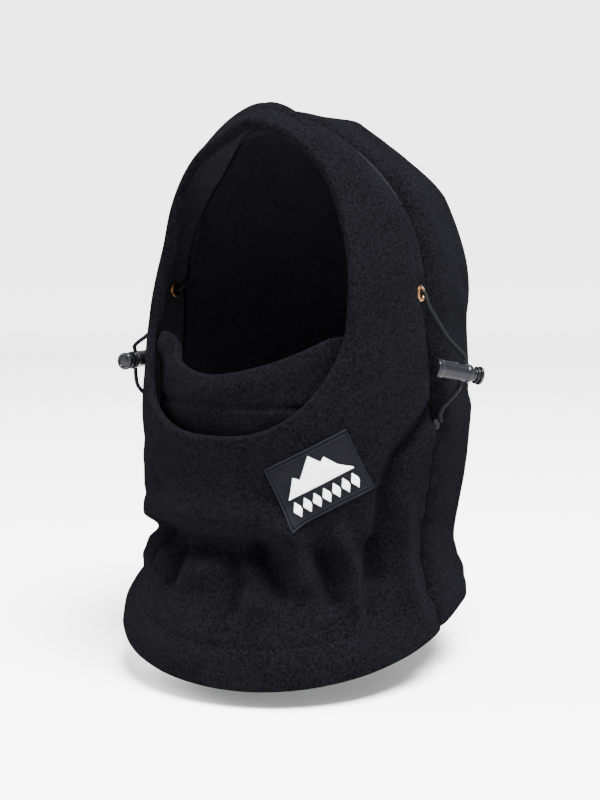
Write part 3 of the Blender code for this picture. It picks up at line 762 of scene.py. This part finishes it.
def travelled(line):
    """How far along a line each of its points is."""
    return np.concatenate([[0], np.cumsum(np.linalg.norm(np.diff(line, axis=0), axis=1))])


def along_line(wanted, lengths, values):
    return np.stack([np.interp(wanted, lengths, values[:, axis]) for axis in range(3)], axis=1)


def stitches(name, line, ups, look, body="hood"):
    """A row of short threads along a line of points, each dipping into the cloth at its ends."""
    lengths = travelled(line)
    threads = []
    for middle in np.arange(STITCH_PITCH, lengths[-1] - STITCH_PITCH, STITCH_PITCH):
        wanted = middle + np.linspace(-0.5, 0.5, 6) * STITCH_PITCH * 0.78
        rise = along_line(wanted, lengths, ups) * STITCH_RISE[:, None]
        threads.append((along_line(wanted, lengths, line) + rise, STITCH_RADII))
    vertices, faces = bundle(threads)
    return new_object(name, raised(vertices), faces, look, body)


def bundle(threads):
    """Vertices and faces of many six-sided threads, each given by its points and its radius at each."""
    vertices, faces = [], []
    for points, radii in threads:
        more, shapes = tube(points, np.repeat(radii[:, None], 6, axis=1))
        faces += [[v + len(vertices) for v in face] for face in shapes]
        vertices += more.tolist()
    return vertices, faces


def make_stitching(thread):
    """The hem's row of stitches, all the way round, and the mask's."""
    degrees = np.linspace(-180, 180, 400)
    y = -0.11 * np.cos(np.radians(degrees))
    for _ in range(5):
        line = at(degrees, hem_height(y) + HEM_STITCH_HEIGHT)
        y = line[:, 1]
    ups = outward(line)
    hem = stitches("hem_stitching", line + ups * lift_of(line)[:, None], ups, thread)
    base, normals, down = mask_grid(200, 240, MASK_ROLL)
    rows = np.arange(len(base))
    column = np.argmin(np.abs(base[..., 2] - MASK_LINE), axis=1)
    line = base[rows, column] + normals[rows, column] * mask_relief(base, down)[rows, column][:, None]
    mask = stitches("mask_stitching", line, normals[rows, column], thread, body=None)
    blend_mask(mask)


def blend_mask(obj):
    """Bakes the piece's placement into its mesh."""
    low, high = (tuple(raised((0, -0.09, z))) for z in (MASK_STAYS_BELOW, MASK_MOVES_ABOVE))
    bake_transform(obj)


# ---- drawcord

def smooth_route(points, spacing):
    """Evenly spaced points on a smooth curve through the route's points."""
    points = [np.array(point, float) for point in points]
    ends = [points[0] * 2 - points[1], *points, points[-1] * 2 - points[-2]]
    fine = []
    for a, b, c, d in zip(ends, ends[1:], ends[2:], ends[3:]):
        square, cube = 2 * a - 5 * b + 4 * c - d, 3 * b - a - 3 * c + d
        for t in np.linspace(0, 1, 24, endpoint=False):
            fine.append(0.5 * (2 * b + (c - a) * t + square * t**2 + cube * t**3))
    fine = np.array([*fine, points[-1]])
    lengths = travelled(fine)
    wanted = np.linspace(0, lengths[-1], max(2, round(lengths[-1] / spacing)) + 1)
    return along_line(wanted, lengths, fine)


def frames_along(points):
    """Directions across a line, without twist, at each of its points."""
    tangents = unit(np.gradient(points, axis=0))
    across = np.cross(tangents[0], (0.3, 0.2, 0.9))
    sides = []
    for tangent in tangents:
        across = across - tangent * (across @ tangent)
        across = across / np.linalg.norm(across)
        sides.append(across)
    sides = np.array(sides)
    return sides, np.cross(tangents, sides)


def tube(points, radii):
    """Vertices and faces of a closed tube, with a radius for each ring and side."""
    sides, others = frames_along(points)
    rings, count = radii.shape
    angles = np.linspace(0, 2 * math.pi, count, endpoint=False)
    across, up = np.cos(angles)[None, :, None], np.sin(angles)[None, :, None]
    ring = sides[:, None] * across + others[:, None] * up
    vertices = (points[:, None] + ring * radii[..., None]).reshape(-1, 3)
    index = np.arange(rings * count).reshape(rings, count)
    after = np.roll(index, -1, axis=1)
    faces = quads(index[:-1], index[1:], after[1:], after[:-1]).tolist()
    faces += [list(index[0]), list(index[-1][::-1])]
    return vertices, faces


BRAID_STEP = 0.00045
BRAID_TURN = 0.0068
BRAID_CROSSING = BRAID_TURN / 4


def braided(points, radius):
    """A round braid: strands crossing one over another, as low ridges on a tube."""
    line = smooth_route(points, BRAID_STEP)
    along = np.arange(len(line))[:, None] * BRAID_STEP * 2 * math.pi
    angles = np.linspace(0, 2 * math.pi, 24, endpoint=False)[None, :]
    turns = along / BRAID_TURN
    first, second = np.cos(4 * (angles + turns)), np.cos(4 * (angles - turns))
    over = np.cos(along / BRAID_CROSSING + angles * 4)
    weave = np.maximum(first * (0.75 + 0.25 * over), second * (0.75 - 0.25 * over))
    return tube(line, radius * (0.965 + 0.035 * weave))


def lock_axes(side):
    press = LOCK_PRESS[side].normalized()
    along = (Vector((0, 0, 1)) - press * press.z).normalized()
    return LOCK_AT[side], press, along


def anchor_frame(side):
    return side_frame(side, ANCHOR_AT)


def outer_cord_points(side):
    centre, normal = eyelet_frame(side)
    at_lock, _, along = lock_axes(side)
    start = [centre - normal * 0.0007, centre + normal * 0.0025]
    above = [Vector(point) for point in CORD_ABOVE_LOCK[side]]
    through = [at_lock + along * reach for reach in CORD_STRAIGHT]
    below = [Vector(point) for point in CORD_BELOW_LOCK[side]]
    anchor, out = anchor_frame(side)
    return start + above + through + below + [anchor + out * CORD_OVER_ANCHOR + CORD_END]


def make_cords(look):
    """The two visible loops of the drawcord."""
    made = {}
    for side, name in SIDES:
        vertices, faces = braided(outer_cord_points(side), CORD_RADIUS)
        obj = new_object(f"cord_{name}", raised(vertices), faces, look)
        made[side] = finished(obj, f"drawcord_{name}")
    return made


def declare_cords(cords):
    for side, obj in cords.items():
        route = smooth_route(outer_cord_points(side), 0.0032)
        tuple(raised(route[0]))
        [tuple(point) for point in raised(route)]


CASING_DEPTH = 0.0090
CASING_RADIUS = 0.0029
CASING_BORE = 0.0022
CASING_SIDES = 20


def casing_line(depth):
    t = GROOVE_TURN * 0.80 * (1 - np.linspace(0, 1, 40))
    half = on_hood(groove_points(t))
    half = half - outward(half) * depth
    half[-1, 0] = 0.0
    return np.concatenate([half, mirrored(half[-2::-1])])


def make_casing(tape, cord_look):
    """The drawcord's tunnel under the lining, and the hidden run of cord in it."""
    line = smooth_route(casing_line(CASING_DEPTH), 0.0022)
    pucker = 0.00012 * np.sin(np.arange(len(line)) * 1.9)[:, None]
    around = np.ones(CASING_SIDES)
    a, faces = tube(line, (CASING_RADIUS + pucker) * around)
    b, _ = tube(line, np.full((len(line), CASING_SIDES), CASING_BORE))
    count = len(line) * CASING_SIDES
    sides = [face for face in faces if len(face) == 4]
    loops = [face for face in faces if len(face) != 4]
    faces = sides + [[v + count for v in face[::-1]] for face in sides]
    for loop in loops:
        for v, w in zip(loop, loop[1:] + loop[:1]):
            faces.append([w, v, v + count, w + count])
    casing = new_object("cord_tunnel", raised(np.concatenate([a, b])), faces, tape)
    finished(casing, "drawcord_casing")
    ends = []
    for side in (1, -1):
        centre, normal = eyelet_frame(side)
        into = [centre - normal * depth for depth in (0.0015, 0.0040, 0.0070, 0.0098)]
        into[-1] += Vector((0.0, 0.0035, 0.0040))
        mouth = Vector(line[0] * (side, 1, 1))
        ends.append([*into, mouth + Vector((0.0, -0.0010, -0.0060))])
    route = [*ends[0], *line[4:-4:6], *ends[1][::-1]]
    vertices, faces = braided(route, CORD_RADIUS)
    run = new_object("cord_in_tunnel", raised(vertices), faces, cord_look)
    finished(run, "drawcord_tunnel_run")


# ---- turned pieces

def facing(centre, direction):
    turn = direction.to_track_quat("Z", "Y").to_matrix().to_4x4()
    return Matrix.Translation(Vector(raised(centre))) @ turn


def lock_place(side):
    at_lock, press, along = lock_axes(side)
    columns = Matrix((-along, press.cross(-along), press)).transposed()
    return Matrix.Translation(Vector(raised(at_lock))) @ columns.to_4x4()


def turned(name, profile, look, place, body="hood", sides=64, smooth=40):
    """A solid turned about its own Z axis from a closed or axis-to-axis profile of (radius, height)."""
    rings = [np.array(point, float) for point in profile]
    closed = np.allclose(rings[0], rings[-1])
    if closed:
        rings = rings[:-1]
    vertices, rows = [], []
    for radius, height in rings:
        if radius < 1e-9:
            rows.append([len(vertices)] * sides)
            vertices.append((0.0, 0.0, height))
            continue
        rows.append(list(range(len(vertices), len(vertices) + sides)))
        angles = [2 * math.pi * k / sides for k in range(sides)]
        vertices += [(radius * math.cos(a), radius * math.sin(a), height) for a in angles]
    faces = []
    pairs = list(zip(rows, rows[1:]))
    if closed:
        pairs.append((rows[-1], rows[0]))
    for upper, lower in pairs:
        for k in range(sides):
            face = [upper[k], lower[k], lower[(k + 1) % sides], upper[(k + 1) % sides]]
            faces.append(list(dict.fromkeys(face)))
    obj = new_object(name, vertices, faces, look, body=None)
    obj.data.set_sharp_from_angle(angle=math.radians(smooth))
    obj.data.transform(place)
    if body:
        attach(obj, body)
    return obj


def rounded(profile, radius, steps=4):
    """The profile with its corners rounded by small arcs."""
    points = [Vector((a, b)) for a, b in profile]
    made = [points[0]]
    for before, here, after in zip(points, points[1:], points[2:]):
        into, out = (before - here), (after - here)
        reach = min(radius, into.length * 0.45, out.length * 0.45)
        start, end = here + into.normalized() * reach, here + out.normalized() * reach
        for k in range(steps + 1):
            t = k / steps
            made.append(start * (1 - t) ** 2 + here * (2 * t * (1 - t)) + end * t**2)
    made.append(points[-1])
    return [(max(0.0, p.x), p.y) for p in made]


# Turned profiles, as (radius, height) along the piece's own axis.
EYELET_PROFILE = (
    (0.0029, -0.0052), (0.0029, 0.0003), (0.0032, 0.0009), (0.0038, 0.0012), (0.0045, 0.0009),
    (0.0050, 0.0003), (0.0049, 0.0001), (0.0034, 0.0001), (0.0034, -0.0052), (0.0029, -0.0052),
)
WASHER_PROFILE = (
    (0.0037, -0.0058), (0.0037, -0.0050), (0.0041, -0.0048), (0.0047, -0.0049),
    (0.0050, -0.0052), (0.0047, -0.0057), (0.0037, -0.0058),
)
BARREL_PROFILE = (
    (0.0, -0.0150), (0.0042, -0.0150), (0.0042, 0.0052), (0.0056, 0.0052), (0.0058, 0.0030),
    (0.0054, 0.0022), (0.0054, -0.0138), (0.0058, -0.0145), (0.0058, -0.0175), (0.0, -0.0175),
)
PLUNGER_PROFILE = (
    (0.0, 0.0124), (0.0030, 0.0122), (0.0036, 0.0116), (0.0041, 0.0124), (0.0049, 0.0128),
    (0.0056, 0.0121), (0.0056, 0.0108), (0.0042, 0.0103), (0.0042, 0.0097), (0.0052, 0.0093),
    (0.0052, 0.0087), (0.0039, 0.0085), (0.0039, -0.0036), (0.0, -0.0036),
)
BARREL_SLOT = (-0.0045, 0.0018, 0.0042)  # from, to and width
PLUNGER_SLOT = (-0.0016, 0.0046, 0.0032)
SPRING_ENDS = (-0.0150 + 0.0006, -0.0036 - 0.0006)
SPRING_RADIUS = 0.0028
SPRING_WIRE = 0.0003
SPRING_TURNS = 4
KNOT_REACHES = (0.0024, 0.0030, 0.0017)
KNOT_LIFT = 0.0026


def make_eyelets(bronze):
    for side, name in SIDES:
        place = facing(*eyelet_frame(side))
        ring = turned(f"eyelet_ring_{name}", EYELET_PROFILE, bronze, place, smooth=60)
        finished(ring, f"eyelet_{name}")
        back = turned(f"eyelet_back_{name}", WASHER_PROFILE, bronze, place, smooth=60)
        finished(back, f"eyelet_washer_{name}")


def make_anchors(thread):
    """Each cord's lower end, sewn down with a small wrapped knot."""
    for side, name in SIDES:
        centre, out = anchor_frame(side)
        u = np.linspace(0, 2 * math.pi, 48, endpoint=False)[:, None]
        latitude = np.linspace(-1, 1, 40)[None, :] * math.pi / 2
        swell = 1 + 0.07 * np.cos(latitude * 18 + u)
        x = KNOT_REACHES[0] * np.cos(latitude) * np.cos(u) * swell
        y = KNOT_REACHES[1] * np.cos(latitude) * np.sin(u) * swell
        z = KNOT_REACHES[2] * np.sin(latitude) * swell
        index = np.arange(x.size).reshape(x.shape)
        after = np.roll(index, -1, axis=0)
        faces = quads(index[:, :-1], after[:, :-1], after[:, 1:], index[:, 1:])
        points = stacked(x, y, z).reshape(-1, 3)
        obj = new_object(f"cord_knot_{name}", points, faces, thread, body=None)
        weld(obj, 1e-6)
        obj.data.transform(facing(centre + out * KNOT_LIFT, out))
        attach(obj, "hood")
        finished(obj, f"cord_anchor_{name}")


def weld(obj, reach):
    mesh = bmesh.new()
    mesh.from_mesh(obj.data)
    bmesh.ops.remove_doubles(mesh, verts=mesh.verts, dist=reach)
    bmesh.ops.recalc_face_normals(mesh, faces=mesh.faces)
    mesh.to_mesh(obj.data)
    mesh.free()


def slot_cutter(low, high, width):
    """A long hole with round ends, through the lock along its X axis."""
    mesh = bmesh.new()
    radius = width / 2
    bmesh.ops.create_cone(mesh, cap_ends=True, segments=48, radius1=radius, radius2=radius, depth=0.03)
    stretch = (high - low) / 2 - radius
    for vert in mesh.verts:
        vert.co.y += math.copysign(stretch, vert.co.y)
    data = bpy.data.meshes.new("slot_cutter")
    mesh.to_mesh(data)
    mesh.free()
    data.transform(Matrix(((0, 0, 1), (1, 0, 0), (0, 1, 0))).to_4x4())
    data.transform(Matrix.Translation((0, 0, (low + high) / 2)))
    return added("slot_cutter", data)


def cut_slot(obj, place, low, high, width):
    """Cuts the slot for the cord, and leaves a plain mesh."""
    cutter = slot_cutter(low, high, width)
    cutter.data.transform(place)
    hole = obj.modifiers.new("Slot", "BOOLEAN")
    hole.operation = "DIFFERENCE"
    hole.solver = "EXACT"
    hole.object = cutter
    graph = bpy.context.evaluated_depsgraph_get()
    cut = bpy.data.meshes.new_from_object(obj.evaluated_get(graph))
    obj.modifiers.clear()
    obj.data = cut
    obj.data.set_sharp_from_angle(angle=math.radians(35))
    bpy.data.objects.remove(cutter, do_unlink=True)


def make_lock(side, name, smoke, dark, steel):
    """The cord lock: a barrel, its sprung plunger and the spring. Returns them."""
    place = lock_place(side)
    barrel = turned(f"lock_body_{name}", rounded(BARREL_PROFILE, 0.0005), smoke, place, body=None)
    cut_slot(barrel, place, *BARREL_SLOT)
    plunger = turned(f"lock_button_{name}", rounded(PLUNGER_PROFILE, 0.0004), dark, place, body=None)
    cut_slot(plunger, place, *PLUNGER_SLOT)
    low, high = SPRING_ENDS
    steps = np.arange(SPRING_TURNS * 24 + 1)
    angles = 2 * math.pi * steps / 24
    heights = low + (high - low) * steps / (SPRING_TURNS * 24)
    line = stacked(SPRING_RADIUS * np.cos(angles), SPRING_RADIUS * np.sin(angles), heights)
    vertices, faces = tube(line, np.full((len(line), 10), SPRING_WIRE))
    spring = new_object(f"lock_coil_{name}", vertices, faces, steel, body=None)
    spring.data.transform(place)
    for obj, body, slot, node in (
        (barrel, f"lock_{name}", "smoke_plastic", f"lock_barrel_{name}"),
        (plunger, f"button_{name}", "dark_plastic", f"lock_plunger_{name}"),
        (spring, f"lock_{name}", "spring_steel", f"lock_spring_{name}"),
    ):
        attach(obj, body)
        finished(obj, node)
    _, press, _ = lock_axes(side)
    foot = tuple(raised(LOCK_AT[side] + press * low))
    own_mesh(spring)
    return [barrel, plunger, spring]


# ---- badge

PATCH_AT = (0.0585, -0.0905)
PATCH_SIZE = (0.052, 0.0385)
PATCH_TURN = math.radians(27)
BORDER_WIDTH = 0.0030
PATCH_HEIGHTS = (0.0010, -0.0004)


def patch_axes():
    x, z = PATCH_AT
    middle = solved(lambda y: stacked(x, -y, z), 1)[0]
    normal = Vector(outward(middle))
    level = Vector((0, 0, 1)).cross(normal).normalized()
    steep = normal.cross(level)
    right = level * math.cos(PATCH_TURN) + steep * math.sin(PATCH_TURN)
    above = steep * math.cos(PATCH_TURN) - level * math.sin(PATCH_TURN)
    return middle, np.array(right), np.array(above)


def smooth_relief(points):
    """The cloth's relief under the badge, without its finest bumps."""
    total = np.zeros(points.shape[:-1])
    _, right, above = patch_axes()
    for a, b in ((0, 0), (1, 0), (-1, 0), (0, 1), (0, -1)):
        near = points + (right * a + above * b) * 0.004
        total = total + lift_of(on_hood(near)) / 5
    return total


def patch_points(across, up, lift):
    """Points of the badge: across and up it from its middle, this far off the cloth."""
    middle, right, above = patch_axes()
    across, up = np.broadcast_arrays(np.asarray(across, float), np.asarray(up, float))
    base = on_hood(middle + right * across[..., None] + above * up[..., None])
    return base + outward(base) * (smooth_relief(base) + lift)[..., None]


BORDER_PROFILE = (  # the badge's folded edge: millimetres outwards, millimetres high
    (-1.5, 0.2), (-1.4, 1.1), (-1.1, 1.4), (-0.8, 1.1), (-0.5, 0.8), (0.4, 0.8), (0.8, 1.2), (1.1, 1.5),
    (1.4, 1.2), (1.5, 0.2), (1.3, -0.3), (-1.3, -0.3),
)


def patch_ring(half_width, half_height):
    """Points round a rectangle every 0.2 mm, and the way out of it at each, mitred at the corners."""
    corners = [(half_width * x, half_height * y) for x, y in ((1, 1), (-1, 1), (-1, -1), (1, -1))]
    edges = zip(corners, corners[1:] + corners[:1], ((0, 1), (-1, 0), (0, -1), (1, 0)))
    ring, ways = [], []
    for (x0, y0), (x1, y1), way in edges:
        steps = round(math.hypot(x1 - x0, y1 - y0) / 0.0002)
        for k in range(steps):
            ring.append((x0 + (x1 - x0) * k / steps, y0 + (y1 - y0) * k / steps))
            ways.append((np.sign(x0), np.sign(y0)) if k == 0 else way)
    return np.array(ring), np.array(ways, float)


def make_patch(cloth, edge, thread):
    """The badge: its cloth, its stitched edge and its motif."""
    half_width, half_height = PATCH_SIZE[0] / 2, PATCH_SIZE[1] / 2
    under_edge = 0.4 * BORDER_WIDTH
    across = np.linspace(-1, 1, 61)[:, None] * (half_width - under_edge)
    up = np.linspace(-1, 1, 49)[None, :] * (half_height - under_edge)
    seen, hidden = (patch_points(across, up, height) for height in PATCH_HEIGHTS)
    finished(shell("badge_cloth", seen, hidden, cloth), "patch_base")
    ring, outward_way = patch_ring(half_width - BORDER_WIDTH / 2, half_height - BORDER_WIDTH / 2)
    offsets, heights = np.array(BORDER_PROFILE).T / 1000
    stitch = 1 + 0.10 * np.cos(np.arange(len(ring)) * 2 * math.pi / 4.5)
    x = ring[:, :1] + outward_way[:, :1] * offsets
    y = ring[:, 1:] + outward_way[:, 1:] * offsets
    vertices = patch_points(x, y, heights * stitch[:, None]).reshape(-1, 3)
    index = np.arange(vertices.shape[0]).reshape(len(ring), len(offsets))
    around, after = np.roll(index, -1, axis=1), np.roll(index, -1, axis=0)
    faces = quads(index, after, np.roll(after, -1, axis=1), around)
    border = new_object("badge_edge", raised(vertices), faces, edge)
    finished(border, "patch_border")
    make_motif(thread)


MOUNTAINS = (
    (-0.0205, -0.0030), (-0.0130, 0.0080), (-0.0100, 0.0050), (-0.0078, 0.0072), (0.0000, 0.0158),
    (0.0048, 0.0092), (0.0076, 0.0112), (0.0125, 0.0035), (0.0205, -0.0030),
)
MOUNTAIN_FOOT = -0.0034
DIAMONDS = 7
DIAMOND_PITCH = 0.0060
DIAMOND_MIDDLE = -0.0103
DIAMOND_TALL = 0.0050
THREAD_PITCH = 0.00042
THREAD_RADIUS = 0.00030


def satin(lines):
    """Threads along (start, end) lines on the badge, each a thin tube that dips at its ends."""
    threads = []
    for start, end in lines:
        steps = max(4, round(math.dist(start, end) / 0.0012))
        share = np.linspace(0, 1, steps + 1)
        x = start[0] + (end[0] - start[0]) * share
        y = start[1] + (end[1] - start[1]) * share
        crown = 0.0008 + 0.0007 * np.sin(math.pi * share) ** 0.35
        line = patch_points(x, y, crown)
        ends = np.sin(math.pi * np.clip(share, 0.03, 0.97)) ** 0.25
        threads.append((line, THREAD_RADIUS * ends))
    return bundle(threads)


def make_motif(thread):
    """Satin-stitch mountains over a row of small diamonds."""
    xs, ys = np.array(MOUNTAINS).T
    lines = []
    for x in np.arange(-0.0200, 0.0201, THREAD_PITCH):
        top = float(np.interp(x, xs, ys))
        lines.append(((x, MOUNTAIN_FOOT), (x + 0.0004, top)))
    for k in range(DIAMONDS):
        middle = DIAMOND_PITCH * (k - (DIAMONDS - 1) / 2)
        for dx in np.arange(-0.0023, 0.00231, THREAD_PITCH):
            tall = DIAMOND_TALL * (1 - abs(dx) / 0.0028)
            x = middle + dx
            lines.append(((x, DIAMOND_MIDDLE - tall), (x, DIAMOND_MIDDLE + tall)))
    vertices, faces = satin(lines)
    motif = new_object("badge_mountains", raised(vertices), faces, thread)
    finished(motif, "patch_motif")


# ---- camera, light and floor

LENS = 59.4
LENS_SHIFT = -0.00925
CAMERA_AZIMUTH = math.radians(30.9)
CAMERA_PITCH = math.radians(6.35)
CAMERA_REACH = 0.8427
CAMERA_ABOVE_EYES = 0.0365
FLOOR_GAP = 0.006
FLOOR_REACH = 30.0
WHITE = (1, 1, 1, 1)
FLOOR_COLOUR = (0.86, 0.86, 0.86, 1.0)


def make_camera():
    data = bpy.data.cameras.new("camera")
    data.lens = LENS
    data.shift_x = LENS_SHIFT
    camera = added("camera", data)
    across, back = math.sin(CAMERA_AZIMUTH), -math.cos(CAMERA_AZIMUTH)
    height = EYE_HEIGHT + CAMERA_ABOVE_EYES
    camera.location = (CAMERA_REACH * across, CAMERA_REACH * back, height)
    camera.rotation_euler = (math.pi / 2 - CAMERA_PITCH, 0.0, CAMERA_AZIMUTH)
    data.clip_start = 0.05
    bpy.context.scene.camera = camera


def area_light(name, place, size, power, target=(0, 0, -0.13)):
    data = bpy.data.lights.new(name, "AREA")
    data.shape = "RECTANGLE"
    data.size, data.size_y = size
    data.energy = power
    light = added(name, data)
    light.location = place
    light.rotation_euler = (Vector(target) - Vector(place)).to_track_quat("-Z", "Y").to_euler()


def floor_paint():
    """Matt pale paint that, like a light tent's floor, glows more the further off it is."""
    paint, tree, shader = node_material("floor_paint")
    dress(shader, Base_Color=FLOOR_COLOUR, Roughness=0.9, Emission_Color=WHITE)
    place = put(tree, "ShaderNodeTexCoord")
    far = put(tree, "ShaderNodeVectorMath", operation="LENGTH")
    tree.links.new(place.outputs["Object"], far.inputs[0])
    glow = put(tree, "ShaderNodeMapRange", From_Min=0.5, From_Max=4.0, To_Min=0.0, To_Max=3.0)
    tree.links.new(far.outputs["Value"], glow.inputs["Value"])
    tree.links.new(glow.outputs["Result"], shader.inputs["Emission Strength"])
    return paint


def make_studio():
    """A pale floor in soft light that is brightest low down, with a large key and a weak fill."""
    world = bpy.data.worlds.new("studio")
    bpy.context.scene.world = world
    world.use_nodes = True
    tree = world.node_tree
    place = put(tree, "ShaderNodeTexCoord")
    split = put(tree, "ShaderNodeSeparateXYZ")
    tree.links.new(place.outputs["Generated"], split.inputs[0])
    strength = put(tree, "ShaderNodeMapRange", From_Min=0.19, From_Max=0.40, To_Min=4.0, To_Max=0.8)
    tree.links.new(split.outputs["Z"], strength.inputs["Value"])
    sky = dress(tree.nodes["Background"], Color=WHITE)
    tree.links.new(strength.outputs["Result"], sky.inputs["Strength"])
    area_light("key_light", (0.7, -0.35, 1.7), (1.2, 1.0), 420.0)
    area_light("fill_light", (-1.3, -0.7, 0.9), (1.2, 1.4), 70.0)
    data = bpy.data.meshes.new("floor")
    low = CAD_BOX[0].z - FLOOR_GAP
    ways = ((-1, -1), (1, -1), (1, 1), (-1, 1))
    corners = [(FLOOR_REACH * x, FLOOR_REACH * y, low) for x, y in ways]
    data.from_pydata(corners, [], [(0, 1, 2, 3)])
    floor = added("floor", data)
    data.materials.append(floor_paint())


# ---- the whole

def main():
    make_camera()
    cord_look = plain("braided_cord", (0.0035, 0.0035, 0.0043), 0.6, grain=2500.0, strength=0.4)
    cords = make_cords(cord_look)
    smoke = plain("smoke_grey_plastic", (0.004, 0.0038, 0.0054), 0.24, grain=400.0, strength=0.02)
    dark = plain("near_black_plastic", (0.004, 0.004, 0.005), 0.16, grain=400.0, strength=0.02)
    steel = plain("drawn_spring_wire", (0.6, 0.6, 0.62), 0.3, 1.0)
    locks = {side: make_lock(side, name, smoke, dark, steel) for side, name in SIDES}
    declare_cords(cords)
    cloth = fleece("napped_fleece", (0.0010, 0.00095, 0.00125), (0.0036, 0.0034, 0.0044), 0.004, 1.0)
    # Painted light: the lining's colours are set several times lighter than the outer fleece, standing in
    # for light reaching the hood's shaded inside.
    lining_dark_painted_lighter, lining_light_painted_lighter = (0.0045, 0.0044, 0.0055), (0.0110, 0.0106, 0.0135)
    inside = fleece("smooth_lining_fleece_painted_lighter", lining_dark_painted_lighter, lining_light_painted_lighter, 0.004, 0.6)
    front_panel(cloth)
    base, _ = front_base(FRONT_ROWS // 2, FRONT_COLUMNS // 2, LINING_FROM_RIM)
    lining("lining_front", base, inside, "front_lining")
    for side, name in SIDES:
        back_panel(side, name, cloth)
        base = back_base(BACK_ROWS // 2, BACK_COLUMNS // 2, side)
        lining(f"lining_back_{name}", base, inside, f"back_lining_{name}")
    make_mask(cloth, inside)
    sewing = plain("black_sewing_thread", (0.0035, 0.0035, 0.0045), 0.7, grain=3000.0, strength=0.3)
    make_stitching(sewing)
    tape = plain("tunnel_tape", (0.004, 0.004, 0.005), 0.9, grain=1800.0, strength=0.4)
    make_casing(tape, cord_look)
    bronze = plain("bronze_metal", (0.15, 0.070, 0.028), 0.30, 1.0, grain=300.0, strength=0.05)
    make_eyelets(bronze)
    make_anchors(plain("knot_thread", (0.008, 0.008, 0.010), 0.7, grain=2500.0, strength=0.4))
    make_patch(
        plain("badge_twill", (0.0030, 0.0028, 0.0041), 0.75, grain=2200.0, strength=0.4),
        plain("badge_edge_thread", (0.0042, 0.0040, 0.0060), 0.6, grain=2500.0, strength=0.4),
        plain("badge_white_thread", (0.62, 0.62, 0.64), 0.6, grain=2500.0, strength=0.3),
    )
    make_studio()


main()
